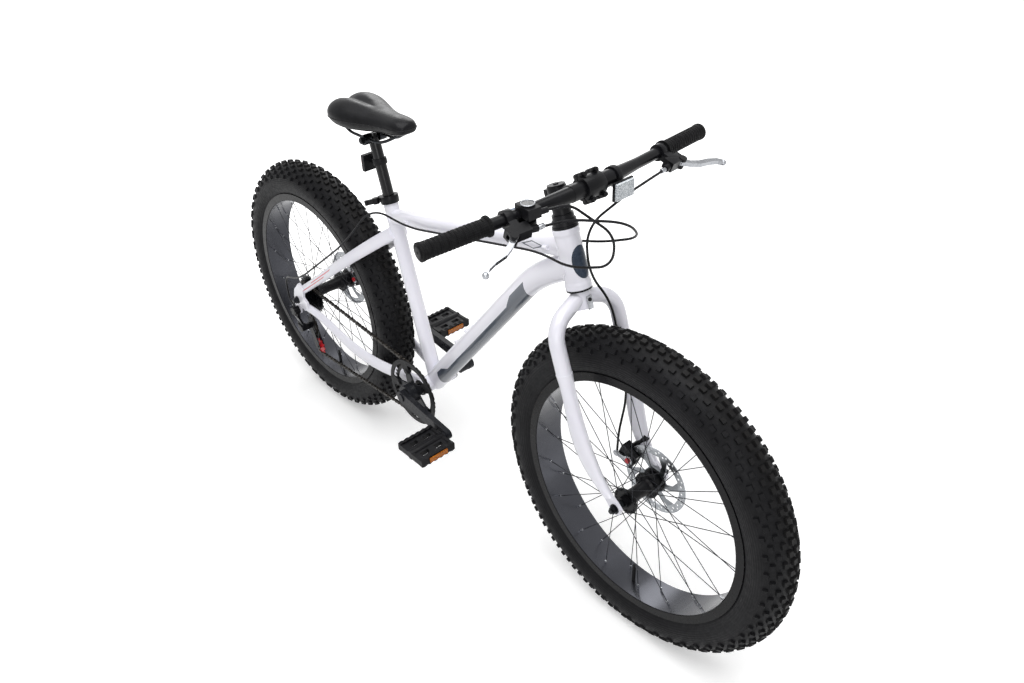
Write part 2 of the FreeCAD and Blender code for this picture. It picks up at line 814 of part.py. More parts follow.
def crank_axles():
    """Spindle with its end bolts and the two pedal axles."""
    reach = -arm_face + crank_thickness - 4.0
    pieces = [bar(bracket - Y * reach, bracket + Y * reach, spindle_radius)]
    for side in SIDES:
        face = bracket + Y * (side * (-arm_face + crank_thickness))
        head = bar(face + Y * (side * seat_gap), face + Y * (side * 3.0), 11.0)
        shank = bar(face - Y * (side * 3.5), face + Y * (side * 1.0), spindle_radius - 1.0)
        pieces.append(head.fuse(shank).removeSplitter())
        eye = pedal_eye(side)
        out = Y * side
        stub = bar(eye, eye + out * (crank_thickness + 2.0), pedal_axle_radius)
        collar = bar(eye + out * (crank_thickness + seat_gap), eye + out * (crank_thickness + 5.0), 9.5)
        shaft = bar(eye, eye + out * (crank_thickness + pedal_length - 10.0), 5.0)
        pieces.append(union([stub, collar, shaft]))
    return group(pieces)


def pedal(side):
    """Platform pedal: saw-toothed front and rear plates, slotted floor, axle barrel, two reflectors."""
    out = Y * side
    start = pedal_eye(side) + out * (crank_thickness + 5.0 + free_gap)
    length = pedal_length - 6.0
    parts = []
    reflectors = []
    for face in SIDES:
        teeth = 6
        step = length / (2 * teeth)
        top = [start + out * (count * step) + Z * (pedal_height / 2 - (3.0 if count % 2 == 0 else 0.0))
               for count in range(2 * teeth + 1)]
        points = top + [point - Z * (2 * (point.z - start.z)) for point in reversed(top)]
        points = [point + X * (face * (pedal_width / 2 - 9.0)) for point in points]
        parts.append(Part.Face(Part.makePolygon(points + points[:1])).extrude(X * (face * 9.0)))
        spot = start + out * (length / 2) + X * (face * (pedal_width / 2 + 1.5))
        reflectors.append(block(spot, X, Y, Z, (3.0 - 2 * seat_gap, 52.0, 12.0)))
    for reach in (4.0, length - 4.0):
        parts.append(block(start + out * reach, X, Y, Z, (pedal_width - 10.0, 8.0, pedal_height - 8.0)))
    parts.append(bar(start, start + out * length, 11.0))
    slab = block(start + out * (length / 2), X, Y, Z, (pedal_width - 10.0, length - 4.0, pedal_floor))
    slots = []
    for face in SIDES:
        for reach in (0.3, 0.7):
            spot = start + out * (length * reach) + X * (face * 22.0)
            slots.append(block(spot, X, Y, Z, (12.0, 22.0, 30.0)))
    parts.append(slab.cut(Part.makeCompound(slots)))
    bore = bar(start - out * 5, start + out * (length - 7.0), 5.0 + running_gap)
    return group([union(parts).cut(bore)] + reflectors)


# Derailleur, hung from the right dropout
hanger = Vector(rear_axle.x - 6.0, 0, rear_axle.z - 33.0)
dropout_right = -rear_hub_width / 2 - dropout_thickness
link_x = hanger.x
link_top = Vector(link_x, dropout_right - 10.0, hanger.z - 15.5)
link_low = Vector(link_x, link_top.y + 12.0, guide_centre.z + 15.0)


def clevis(pin, reach):
    """Two ears and a fore-aft pin that carry one end of the link."""
    parts = [bar(pin - X * 15.0, pin + X * 15.0, link_pin)]
    for side in SIDES:
        parts.append(bar(pin + X * (side * 10.5), pin + X * (side * 15.0), 5.0))
        parts.append(block(pin + X * (side * 12.75) + reach * 0.5, X, Y, Z, (4.5, 8.0, abs(reach.z))))
    return parts


def derailleur_body():
    """Block bolted through the hanger with the upper link pivot."""
    face = Y * (dropout_right - seat_gap)
    parts = [bar(hanger + face, hanger + face - Y * 18.0, 10.0)]
    parts.append(block(hanger + face - Y * 9.0 - Z * 1.0, X, Y, Z, (29.0, 16.0, 9.0)))
    parts += clevis(link_top, Z * 13.5)
    bolt = bar(hanger + Y * (dropout_right + dropout_thickness - 1.0), hanger + face - Y * 8.0, 4.0)
    return union(parts + [bolt])


def derailleur_link():
    """Swinging link between the two clevises."""
    run = (link_low - link_top).normalize()
    middle = (link_low + link_top) * 0.5
    parts = [block(middle, X, run.cross(X), run, (19.0, 6.0, (link_low - link_top).Length - 4.0))]
    bores = []
    for pin in (link_top, link_low):
        parts.append(bar(pin - X * 9.5, pin + X * 9.5, 4.5))
        bores.append(bar(pin - X * 12, pin + X * 12, link_pin + running_gap))
    return union(parts).cut(Part.makeCompound(bores))


def derailleur_knuckle():
    """Lower block: link pivot above, cage pivot and guide pulley bolt below."""
    outer = chain_line - cage_gap - 2.0 - free_gap
    spot = Vector(guide_centre.x, 0, guide_centre.z)
    parts = [bar(spot + Y * outer, spot + Y * (link_low.y - 8.0), 9.0)]
    parts += clevis(link_low, Z * -12.0)
    parts.append(block(link_low - Z * 12.0, X, Y, Z, (29.0, 11.0, 11.0)))
    bolt = bar(spot + Y * (chain_line + cage_gap + 4.0), spot + Y * (outer - 2.0), 3.0)
    return union(parts + [bolt])


def derailleur_cage():
    """Two side plates with a lower pulley bolt."""
    run = (tension_centre - guide_centre).normalize()
    side = run.cross(Y)
    plates = []
    for y in (chain_line - cage_gap - 2.0, chain_line + cage_gap):
        points = []
        for spot, half in ((guide_centre, 10.0), (tension_centre, 9.0)):
            points.append((spot - side * half + Y * y, spot + side * half + Y * y))
        edges = [Part.LineSegment(points[0][0], points[1][0]).toShape(),
                 Part.Arc(points[1][0], tension_centre + run * 9.0 + Y * y, points[1][1]).toShape(),
                 Part.LineSegment(points[1][1], points[0][1]).toShape(),
                 Part.Arc(points[0][1], guide_centre - run * 10.0 + Y * y, points[0][0]).toShape()]
        face = Part.Face(Part.Wire(edges))
        plates.append(face.extrude(Y * 2.0))
    middle = guide_centre + Y * chain_line
    bore = bar(middle - Y * 20, middle + Y * 20, 3.0 + running_gap)
    reach = Y * (cage_gap + 3.5)
    bolt = bar(tension_centre + Y * chain_line - reach, tension_centre + Y * chain_line + reach, 3.0)
    return union(plates + [bolt]).cut(bore)


def pulley(centre):
    """Small toothed wheel between the cage plates."""
    phase = sprocket_phase(centre, pulley_teeth)
    wheel = sprocket(centre, pulley_teeth, 3.0 + running_gap, chain_line, phase)
    hub = tube(centre + Y * (chain_line - 5.2), centre + Y * (chain_line + 5.2), 7.0, 3.0 + running_gap)
    return wheel.fuse(hub).removeSplitter()


# Frame
head_low = fork_length + 5.0
head_high = head_low + head_tube_length
seat_top = seat_tube_length
stay_end = rear_hub_width / 2 + dropout_thickness / 2
down_bend = Vector(bracket.x + 383.0, 0, bracket.z + 465.0)
down_top = steer(head_low + 47.0)


def head_outline():
    """Outside of the head tube as (radius, height) points, with a lip at each end."""
    lip = head_tube_radius + head_tube_lip
    half = [(lip, 0), (lip, 10.0), (head_tube_radius, 15.0)]
    return half + [(radius, head_tube_length - height) for radius, height in reversed(half)]


def head_tube():
    """Head tube with rolled ends, bored for the headset cups."""
    profile = [(cup_radius, 0)] + head_outline() + [(cup_radius, head_tube_length)]
    return turned(profile, steer(head_low), steer_up)


def headset():
    """Pressed cups and their bearing rings, top and bottom."""
    pieces = []
    for end, way in ((head_low, 1), (head_high, -1)):
        out = steer_up * -way
        base = steer(end)
        sleeve = tube(base - out * 12.0, base + out * seat_gap, cup_radius - running_gap, 17.5)
        lip = tube(base + out * seat_gap, base + out * 4.2, head_tube_radius + 1.0, 17.5)
        pieces.append(union([sleeve, lip]))
        outer = 17.5 - running_gap
        pieces.append(tube(base - out * 9.0, base + out * 2.0, outer, steerer_radius + running_gap))
    return group(pieces)


def solid_head():
    """Filled head tube used to trim the tubes that meet it."""
    return turned([(0, 0)] + head_outline() + [(0, head_tube_length)], steer(head_low), steer_up)


def solid_seat_tube():
    """Filled seat tube used to trim the tubes that meet it."""
    return bar(bracket, seat(seat_top), seat_tube_radius)


def solid_shell():
    """Filled bottom bracket shell used to trim the tubes that meet it."""
    return bar(bracket - Y * (shell_width / 2), bracket + Y * (shell_width / 2), shell_radius)


def down_tube_body():
    """Down tube before trimming, bent up to the head tube."""
    return pipe([bracket, down_bend, down_top], down_tube_radius)


def down_tube():
    """Trimmed down tube with two raised bottle bosses."""
    body = down_tube_body().cut(group([solid_head(), solid_seat_tube(), solid_shell()]))
    run = (down_bend - bracket).normalize()
    normal = Vector(-run.z, 0, run.x)
    pieces = [biggest(body)]
    for along in (190.0, 254.0):
        foot = bracket + run * along + normal * (down_tube_radius - 3.0)
        boss = tube(foot, foot + normal * 8.0, 5.5, boss_bore).cut(down_tube_body())
        pieces.append(biggest(boss))
    return group(pieces)


def top_tube():
    """Flattened top tube, deeper at the head."""
    low = seat(seat_top - 52.0)
    high = steer(head_low + 84.0)
    run = (high - low).normalize()
    up = Vector(-run.z, 0, run.x)
    ends = [rounded_section(low, Y, up, 18.0, 16.0, 11.0), rounded_section(high, Y, up, 23.0, 20.0, 13.0)]
    body = Part.makeLoft(ends, True, True).cut(group([solid_head(), solid_seat_tube(), down_tube_body()]))
    tube_solid = biggest(body)
    stops = []
    for along, left in ((0.13, -20.5), (0.93, -25.0), (0.13, 20.5), (0.93, 25.0)):
        spot = low + (high - low) * along + Y * left
        stops.append(bar(spot - run * 7.0, spot + run * 7.0, 4.5))
    return union([tube_solid] + stops)


def seat_tube():
    """Seat tube welded to the bottom bracket shell."""
    body = union([solid_seat_tube(), solid_shell()])
    bore = bar(seat(seat_top - seatpost_depth - 30), seat(seat_top), seatpost_radius + running_gap)
    shell_bore = bar(bracket - Y * shell_width, bracket + Y * shell_width, bracket_bore)
    return body.cut(group([bore, shell_bore]))


def bottom_bracket():
    """Threaded cups with bearings on both ends of the shell."""
    pieces = []
    for side in SIDES:
        out = Y * side
        end = bracket + out * (shell_width / 2)
        cup = union([bar(end - out * 16, end + out * seat_gap, bracket_bore - running_gap),
                     bar(end + out * seat_gap, end + out * 3.5, shell_radius - 1.0)])
        pieces.append(cup.cut(bar(end - out * 20, end + out * 20, 13.0)))
        pieces.append(tube(end - out * 12, end - out * 2, 13.0 - running_gap, spindle_radius + running_gap))
    return group(pieces)


def seat_stay():
    """Left seat stay: narrow at the seat tube, bowed round the tyre, out to the dropout."""
    top = seat(seat_top - 88.0)
    run = (rear_axle + Vector(14, 0, 30) - top)
    length = run.Length
    run.normalize()
    up = Vector(run.z, 0, -run.x)
    clear = tyre_width / 2 + 16.0
    stations = ((0.0, 15.0, 9.0, 16.0), (0.13, 42.0, 9.0, 16.0), (0.3, clear, 8.0, 15.0),
                (0.65, clear + 14.0, 8.0, 13.0), (1.0, stay_end, 8.0, 11.0))
    wires = [oval(top + run * (length * s) + Y * y, Y, up, a, b) for s, y, a, b in stations]
    return Part.makeLoft(wires, True, False), top + run * (length * 0.16)


def chain_stay():
    """Left chain stay, dipping under the chain line on its way from the shell to the dropout."""
    end = rear_axle + Vector(26, 0, -9)
    reach = bracket.x - 10.0 - end.x
    dip = bracket.z - 9.0
    clear = tyre_width / 2 + 15.0
    stations = ((0.0, bracket.z, 32.0, 9.0, 15.0),
                (0.2, dip, 47.0, 8.5, 18.0),
                (0.38, dip + 2.0, clear, 8.0, 19.0),
                (0.7, dip + 32.0, clear + 15.0, 8.0, 17.0),
                (1.0, end.z, stay_end, 8.0, 12.0))
    wires = []
    for along, z, y, across, deep in stations:
        wires.append(oval(Vector(bracket.x - 10.0 - reach * along, y, z), Y, Z, across, deep))
    return Part.makeLoft(wires, True, False)


def dropout(right):
    """Flat rear dropout; the right one reaches down to hold the derailleur."""
    c = rear_axle
    points = [c + Vector(52, 0, -6), c + Vector(50, 0, 8), c + Vector(34, 0, 20), c + Vector(40, 0, 46),
              c + Vector(20, 0, 61), c + Vector(-9, 0, 31), c + Vector(-16, 0, 12), c + Vector(-18, 0, -6)]
    if right:
        points += [c + Vector(-20, 0, -38), c + Vector(-12, 0, -46)]
        points += [c + Vector(2, 0, -44), c + Vector(8, 0, -20)]
    points += [c + Vector(16, 0, -18), c + Vector(34, 0, -22)]
    inner = rear_hub_width / 2 if not right else dropout_right
    drop = plate([point + Y * inner for point in points], dropout_thickness)
    holes = [bar(c - Y * 150, c + Y * 150, axle_radius + running_gap)]
    if right:
        holes.append(bar(hanger - Y * 150, hanger + Y * 150, 4.0 + running_gap))
    return drop.cut(Part.makeCompound(holes))


def rear_triangle():
    """Stays, their bridge and the two dropouts, welded solids side by side."""
    stay, bridge_spot = seat_stay()
    stay = stay.cut(solid_seat_tube())
    lower = chain_stay().cut(solid_shell())
    left_drop = dropout(False)
    right_drop = dropout(True)
    bridge = bar(bridge_spot - Y * 60, bridge_spot + Y * 60, 8.0)
    pieces = [left_drop, right_drop]
    for side, drop in ((1, left_drop), (-1, right_drop)):
        for piece in (stay, lower):
            here = piece if side > 0 else mirrored(piece)
            trimmed = here.cut(drop)
            pieces.append(biggest(trimmed))
    middle = bridge.cut(group([pieces[2], pieces[4]]))
    pieces.append(min(middle.Solids, key=lambda solid: abs(solid.CenterOfMass.y)))
    return group(pieces)


# Fork and steering
def fork_steerer():
    """Steerer tube with its crown race."""
    top = head_high + 4.5 + spacer_stack + stem_height - 3.0
    crown = bar(steer(fork_length - crown_depth), steer(fork_length), crown_radius)
    outer = union([crown, bar(steer(fork_length - 10), steer(top), steerer_radius)])
    return outer.cut(bar(steer(fork_length), steer(top), steerer_radius - 2.0))


fork_tip_y = front_hub_width / 2 + dropout_thickness / 2
fork_tip = steer(24.0, fork_rake - 14.0, fork_tip_y)


def fork_shoulder():
    """Left upper tube: out of the crown, round the shoulder and straight down."""
    start = steer(fork_length - 13.0, 0, 6.0)
    corner = steer(fork_length - 45.0, 0, blade_spread + 2.0)
    waist = steer(fork_length - 150.0, 0, blade_spread + 2.0)
    crown = bar(steer(fork_length - crown_depth), steer(fork_length), crown_radius)
    return biggest(pipe([start, corner, waist], blade_radius).cut(crown))


def fork_leg():
    """Left leg: deep oval sections that hook forward to the axle from a collar on the upper tube."""
    collar = blade_radius + 0.8
    stations = ((steer(fork_length - 142.0, 0, blade_spread + 2.0), collar, collar + 0.1),
                (steer(200, -2, blade_spread + 1.0), 14.0, 19.0),
                (steer(115, -2, fork_tip_y + 7.0), 13.0, 22.0),
                (steer(62, 9, fork_tip_y + 2.0), 11.0, 18.0),
                (fork_tip, 9.0, 12.0))
    wires = [oval(spot, Y, steer_ahead, across, deep) for spot, across, deep in stations]
    return Part.makeLoft(wires, True, False)


def fork_blades():
    """Both blades and their flat dropouts."""
    c = front_axle
    foot = Vector(fork_tip.x, 0, fork_tip.z)
    toward = (foot - c).normalize()
    side = Vector(toward.z, 0, -toward.x)
    outline = [c - side * 14 - toward * 10, c - toward * 16,
               c + side * 14 - toward * 10, c + side * 14 + toward * 8,
               foot + side * 8 + toward * 22, foot - side * 8 + toward * 22, c - side * 14 + toward * 8]
    drop = plate([Vector(point.x, front_hub_width / 2, point.z) for point in outline], dropout_thickness)
    drop = drop.cut(bar(c, c + Y * 200, axle_radius + running_gap))
    blade = fork_shoulder().fuse(biggest(fork_leg().cut(drop)))
    return group([blade, mirrored(blade), drop, mirrored(drop)])


stem_low = head_high + 4.5 + spacer_stack
stem_middle = stem_low + stem_height / 2
bar_centre = steer(stem_middle + 21.0, stem_reach)


def headset_spacers():
    """Spacer rings under the stem and the top cap over it."""
    pieces = []
    base = head_high + 4.3
    step = (spacer_stack + 0.2) / 3
    for count in range(3):
        low = base + count * step
        outer = 24.0 - 2.5 * count if count < 2 else 18.0
        pieces.append(tube(steer(low + seat_gap), steer(low + step), outer, steerer_radius + running_gap))
    top = stem_low + stem_height
    cap = bar(steer(top + seat_gap), steer(top + 4.0), 18.0)
    pieces.append(union([cap, bar(steer(top + 3.0), steer(top + 6.0), 5.0)]))
    return group(pieces)


def stem():
    """Stem body, front faceplate and bolts."""
    run = (bar_centre - steer(stem_middle)).normalize()
    across = run.cross(Y)
    clamp_radius = bar_clamp_radius + 6.0
    parts = [bar(steer(stem_low + seat_gap), steer(stem_low + stem_height), 19.0),
             bar(steer(stem_middle), bar_centre, 15.5),
             bar(bar_centre - Y * 23, bar_centre + Y * 23, clamp_radius),
             block(steer(stem_middle, -20.0), steer_ahead, Y, steer_up, (12.0, 22.0, stem_height - 8.0))]
    lugs = []
    bolts = []
    for side in SIDES:
        for lift in SIDES:
            spot = bar_centre + Y * (side * 15.0) + across * (lift * (bar_clamp_radius + 7.5))
            lugs.append(bar(spot - run * 12, spot + run * 12, 5.5))
            bolts.append(bar(spot + run * 12.2, spot + run * 16, 4.2))
    whole = union(parts + lugs)
    drills = [bar(steer(stem_low), steer(stem_low + stem_height), steerer_radius + running_gap),
              bar(bar_centre - Y * 40, bar_centre + Y * 40, bar_clamp_radius + running_gap)]
    whole = whole.cut(Part.makeCompound(drills))
    split = block(bar_centre, run, Y, across, (2.0, 80, 80))
    halves = sorted(whole.cut(split).Solids, key=lambda solid: -solid.Volume)[:2]
    for lift in (-12.0, 12.0):
        spot = steer(stem_middle + lift, -20.0)
        bolts.append(bar(spot - Y * 13.0, spot - Y * 11.2, 4.0))
    return group(halves + bolts)


def bar_point(y):
    """Centre line of the handlebar."""
    beyond = max(0.0, abs(y) - bar_bend) / (bar_half_width - bar_bend)
    return bar_centre + Vector(-bar_backsweep * beyond, y, -bar_drop * beyond)


def handlebar():
    """Bent bar with a thick middle tapering to both sides."""
    ends = [bar_point(y) for y in (-bar_half_width + 2, -bar_bend, bar_bend, bar_half_width - 2)]
    side_run = (ends[3] - ends[2]).normalize()
    parts = [pipe(ends, bar_radius), bar(bar_centre - Y * 52, bar_centre + Y * 52, bar_clamp_radius)]
    for side in SIDES:
        run = Vector(side_run.x, side * side_run.y, side_run.z)
        start = bar_point(side * bar_bend) - run * 6.0
        parts.append(Part.makeCone(bar_clamp_radius - 1.0, bar_radius - 0.5, 95.0, start, run))
    return union(parts)


def bar_frame(y):
    """Point and outward direction of the bar at one side position."""
    step = 1.0 if y > 0 else -1.0
    run = (bar_point(y + step) - bar_point(y)).normalize()
    return bar_point(y), run


def grips():
    """Ribbed grips closed at their outer ends."""
    made = []
    for side in SIDES:
        end = bar_point(side * bar_half_width)
        run = (end - bar_point(side * 200.0)).normalize()
        start = end - run * grip_length
        bore = bar_radius + running_gap
        profile = [(bore, 0), (grip_radius + 3, 0), (grip_radius + 3, 4), (grip_radius, 7)]
        ribs = 14
        for count in range(ribs):
            low = 12.0 + count * (grip_length - 24.0) / ribs
            groove = grip_radius - 1.0
            profile += [(grip_radius, low), (groove, low + 1.5)]
            profile += [(groove, low + 3), (grip_radius, low + 4.5)]
        profile += [(grip_radius, grip_length - 7), (grip_radius + 1, grip_length - 5),
                    (grip_radius + 1, grip_length), (0, grip_length + 3),
                    (0, grip_length - 1.5), (bore, grip_length - 1.5)]
        made.append(turned(profile, start, run))
    return group(made)


def lever_frame(side):
    """Bracket position on the bar with outward, forward and upward directions."""
    spot, out = bar_frame(side * lever_ys[side])
    ahead = X * math.cos(math.radians(lever_tilt)) + Z * math.sin(math.radians(lever_tilt))
    ahead = (ahead - out * ahead.dot(out)).normalize()
    up = out.cross(ahead) * -side
    return spot, out, ahead, up


def lever_pivot(side):
    """Centre of the lever pin."""
    spot, out, ahead, up = lever_frame(side)
    return spot + ahead * lever_pivot_ahead + out * lever_pivot_out


def lever_brackets():
    """Clamp, lever housing and barrel adjuster on each side."""
    made = []
    for side in SIDES:
        spot, out, ahead, up = lever_frame(side)
        pivot = lever_pivot(side)
        parts = [bar(spot - out * 8, spot + out * 8, 16.5),
                 block(spot + ahead * 20, ahead, out, up, (24, 16, 18)),
                 block(spot + ahead * 36 + out * 1, ahead, out, up, (22, 44, 20)),
                 bar(spot + ahead * 38 - out * 18, spot + ahead * 41 - out * 36, 6.5),
                 bar(pivot - up * 11.5, pivot + up * 11.5, 8.0)]
        body = union(parts)
        half = lever_thickness / 2 + free_gap
        slot = block(pivot + out * 16 + ahead * 12, ahead, out, up, (46, 44, 2 * half))
        room = bar(pivot - up * half, pivot + up * half, 10.0)
        bore = bar(spot - out * 20, spot + out * 20, bar_radius + running_gap)
        body = body.cut(group([slot, room, bore]))
        pin = bar(pivot - up * 10, pivot + up * 10, lever_pin)
        made.append(union([biggest(body), pin]))
    return group(made)


def lever_blade(side):
    """Two-finger blade from the pivot out along the grip, with a rounded end."""
    spot, out, ahead, up = lever_frame(side)
    pivot = lever_pivot(side)
    low = pivot - up * (lever_thickness / 2)
    front = ((-1, 6.5), (14, 18), (32, 28), (58, 34), (76, 41), (83, 49))
    back = ((90, 44), (80, 33), (60, 24), (36, 18), (18, 9), (3, -6.5))
    path = [low + out * along + ahead * reach for along, reach in front + back]
    blade = Part.Face(Part.makePolygon(path + path[:1])).extrude(up * lever_thickness)
    tip = low + out * 87 + ahead * 47 + up * (lever_thickness / 2)
    ball = Part.makeSphere(6.0, tip)
    eye = bar(low, low + up * lever_thickness, 6.5)
    bore = bar(low - up * 20, low + up * 30, lever_pin + running_gap)
    return union([blade, ball, eye]).cut(bore)


def shift_frame():
    """Shifter position on the bar with its directions."""
    spot, out = bar_frame(shift_y)
    up = (Z - out * Z.dot(out)).normalize()
    ahead = (X - out * X.dot(out) - up * X.dot(up)).normalize()
    return spot, out, ahead, up


def shifter_body():
    """Clamp, pod and clear gear window of the shifter."""
    spot, out, ahead, up = shift_frame()
    parts = [bar(spot - out * 7, spot + out * 7, 16.0),
             block(spot + ahead * 14 + up * 10, ahead, out, up, (40, 27, 20)),
             bar(spot - up * 10 + ahead * 8, spot - up * 22 + ahead * 8, 17.0),
             bar(spot + ahead * 26 + up * 6 - out * 10, spot + ahead * 28 + up * 6 - out * 30, 5.5)]
    body = union(parts).cut(bar(spot - out * 40, spot + out * 40, bar_radius + running_gap))
    dial = spot + ahead * 14 + up * (20.0 + seat_gap)
    window = bar(dial, dial + up * 3.0, dial_radius)
    return group([biggest(body), window])


def thumb_lever():
    """Thumb paddle turning under the shifter pod."""
    spot, out, ahead, up = shift_frame()
    hub = spot - up * (22 + free_gap) + ahead * 8
    parts = [bar(hub, hub - up * 5, 12.0),
             block(hub - up * 2.5 - ahead * 26, ahead, out, up, (44, 12, 5)),
             block(hub + up * 3.5 - ahead * 46, ahead, out, up, (9, 20, 17))]
    return union(parts)


def front_reflector():
    """Bracket ring on the bar with a clear reflector in front."""
    ring_centre, out = bar_frame(60.0)
    ring = bar(ring_centre - out * 6, ring_centre + out * 6, 19.0)
    arm = block(ring_centre + X * 16 - Z * 12, X, Y, Z, (16, 12, 10))
    holder = block(ring_centre + X * 25 - Z * 18, X, Y, Z, (5, 50, 36))
    hole = bar(ring_centre - out * 20, ring_centre + out * 20, 15.2)
    bracket_body = union([ring, arm, holder]).cut(hole)
    lens = block(ring_centre + X * (27.5 + 2.5 + seat_gap) - Z * 18, X, Y, Z, (5, 46, 32))
    return group([bracket_body, lens])


# Brakes
def caliper_frame(axle, angle):
    """Outward and along directions of a caliper over the disc edge."""
    out = polar(Vector(0, 0, 0), 1.0, angle)
    along = polar(Vector(0, 0, 0), 1.0, angle - 90)
    return out, along


def caliper(axle, rotor_y, angle, anchors):
    """Slotted caliper body with two pads and a bracket to the frame."""
    out, along = caliper_frame(axle, angle)
    middle = axle + Y * rotor_y
    slot_half = rotor_thickness / 2 + 3.0
    body = block(middle + out * 75 - Y * 3.5, out, Y, along, (42, 23, 38))
    piston = bar(middle + out * arm_pivot_radius - Y * piston_depth, middle + out * arm_pivot_radius, 15.0)
    slot = block(middle + out * 66, out, Y, along, (38, 2 * slot_half, 60))
    parts = [union([body, piston]).cut(slot)]
    pads = []
    for side in SIDES:
        spot = middle + out * 66 + Y * (side * (rotor_thickness / 2 + free_gap + 1.2))
        pads.append(block(spot, out, Y, along, (20, 2.4, 26)))
    for anchor, near, radius in anchors:
        spot = middle + out * near[0] + along * near[1] + Y * near[2]
        parts[0] = parts[0].fuse(bar(spot, anchor, radius))
    return parts[0].removeSplitter(), pads


def front_caliper():
    """Front caliper on the left blade."""
    anchors = ((fork_tip + steer_up * 18 - steer_ahead * 6, (84, 8, 10), 7.0),
               (fork_tip + steer_up * 62 - steer_ahead * 6, (88, -14, 10), 7.0))
    body, pads = caliper(front_axle, front_rotor_y, front_caliper_angle, anchors)
    trimmed = body.cut(fork_blades())
    return group([biggest(trimmed)] + pads)


def rear_caliper():
    """Rear caliper between the left stays."""
    anchors = ((rear_axle + Vector(40, stay_end - 3, -2), (88, 12, 10), 7.0),
               (rear_axle + Vector(58, stay_end - 5, 52), (90, -14, 10), 7.0))
    body, pads = caliper(rear_axle, rear_rotor_y, rear_caliper_angle, anchors)
    trimmed = body.cut(rear_triangle())
    return group([biggest(trimmed)] + pads)


def caliper_arm(axle, rotor_y, angle, arm_angle):
    """Actuating arm on the inner side of a caliper, square to the cable that pulls it."""
    out, along = caliper_frame(axle, angle)
    pivot = axle + out * arm_pivot_radius + Y * (rotor_y - piston_depth - free_gap)
    tip = polar(pivot, 34.0, arm_angle)
    run = (tip - pivot).normalize()
    disc = bar(pivot, pivot - Y * 3.5, 11.0)
    beam = block((pivot + tip) * 0.5 - Y * 1.75, run, Y, run.cross(Y), (34.0, 3.5, 11.0))
    end = bar(tip, tip - Y * 3.5, 7.0)
    return union([disc, beam, end])


# Saddle and post
clamp_bolt = seat(seat_top - 7, -26.0)
cam_centre = clamp_bolt - Y * 22.0


def seat_clamp():
    """Split collar round the top of the seat tube with a quick release bolt behind."""
    low = seat(seat_top - 16)
    high = seat(seat_top + 2)
    ring = union([bar(low, high, 22.5), block(clamp_bolt, seat_ahead, Y, seat_up, (14, 22, 15))])
    ring = ring.cut(bar(seat(seat_top - 40), seat(seat_top), seat_tube_radius + running_gap))
    ring = ring.cut(bar(low, seat(seat_top + 40), seatpost_radius + seat_gap))
    ring = ring.cut(block(clamp_bolt - seat_ahead * 4, seat_ahead, Y, seat_up, (22, 3, 40)))
    bolt = union([bar(clamp_bolt - Y * 13.5, clamp_bolt + Y * 16, 2.6),
                  bar(clamp_bolt + Y * 11.2, clamp_bolt + Y * 17, 6.0)])
    hole = bar(clamp_bolt - Y * 30, clamp_bolt + Y * 30, 2.6 + running_gap)
    return group([ring.cut(hole), bolt])


def seat_clamp_lever():
    """Quick release lever: a round cam with a short handle pointing out and back."""
    cam = bar(cam_centre - seat_up * 7.5, cam_centre + seat_up * 7.5, 8.0)
    run = (Y * -1 - seat_ahead * 0.6).normalize()
    handle = block(cam_centre + run * 12, run, run.cross(seat_up), seat_up, (22, 7, 12))
    tip = bar(cam_centre + run * 23 - seat_up * 6, cam_centre + run * 23 + seat_up * 6, 5.0)
    return union([cam, handle, tip])


post_top = seat_top + seatpost_rise
saddle_pivot = seat(post_top + 13)


def seatpost():
    """Straight post with a narrow neck, cross-drilled for the saddle clamp bolt."""
    body = union([bar(seat(seat_top - seatpost_depth), seat(post_top), seatpost_radius),
                  bar(seat(post_top - 1), seat(post_top + 23), 11.0)])
    return body.cut(bar(saddle_pivot - Y * 20, saddle_pivot + Y * 20, clamp_bolt_radius + running_gap))


def rear_reflector():
    """Clamp ring on the post with a red block reflector behind."""
    spot = seat(seat_top + 84)
    bore = seatpost_radius + running_gap
    ring = tube(spot - seat_up * 7, spot + seat_up * 7, seatpost_radius + 3.5, bore)
    arm = block(seat(seat_top + 84, -24.0), X, Y, Z, (18, 10, 12))
    arm = arm.cut(bar(seat(seat_top), seat(post_top), seatpost_radius + 3.0))
    holder = block(seat(seat_top + 84, -36.0), X, Y, Z, (10, 50, 40))
    lens = block(seat(seat_top + 84, -36.0) - X * (5 + 2 + seat_gap), X, Y, Z, (4, 46, 36))
    return group([union([ring, arm, holder]), lens])


def saddle_section(x, half_width, centre, hump, bottom):
    """Saddle cross-section: flat underside, drawn-in flanks, a hump each side of the centre line."""
    base = Vector(x, 0, 0)
    shoulder = hump - 0.12 * half_width - 2.0
    low = [base + Vector(0, side * half_width * 0.7, bottom) for side in SIDES]
    wide = [base + Vector(0, side * half_width, bottom + 0.6 * (shoulder - bottom)) for side in SIDES]
    high = [base + Vector(0, side * half_width * 0.88, shoulder) for side in SIDES]
    crest = [base + Vector(0, side * half_width * 0.5, hump) for side in SIDES]
    top = base + Z * centre
    edges = [Part.LineSegment(low[0], low[1]).toShape(),
             Part.Arc(low[1], wide[1], high[1]).toShape(),
             Part.Arc(high[1], crest[1], top).toShape(),
             Part.Arc(top, crest[0], high[0]).toShape(),
             Part.Arc(high[0], wide[0], low[0]).toShape()]
    return Part.Wire(edges)


saddle_stations = (
    (-362, 40, 970, 976, 950),
    (-350, 58, 974, 984, 943),
    (-318, 69, 978, 989, 936),
    (-268, 62, 979, 985, 935),
    (-218, 46, 981, 981, 940),
    (-166, 35, 984, 982, 946),
    (-124, 29, 984, 982, 951),
    (-107, 18, 977, 975, 957),
)


def saddle():
    """Padded saddle top as one closed form."""
    return Part.makeLoft([saddle_section(*station) for station in saddle_stations], True, False)


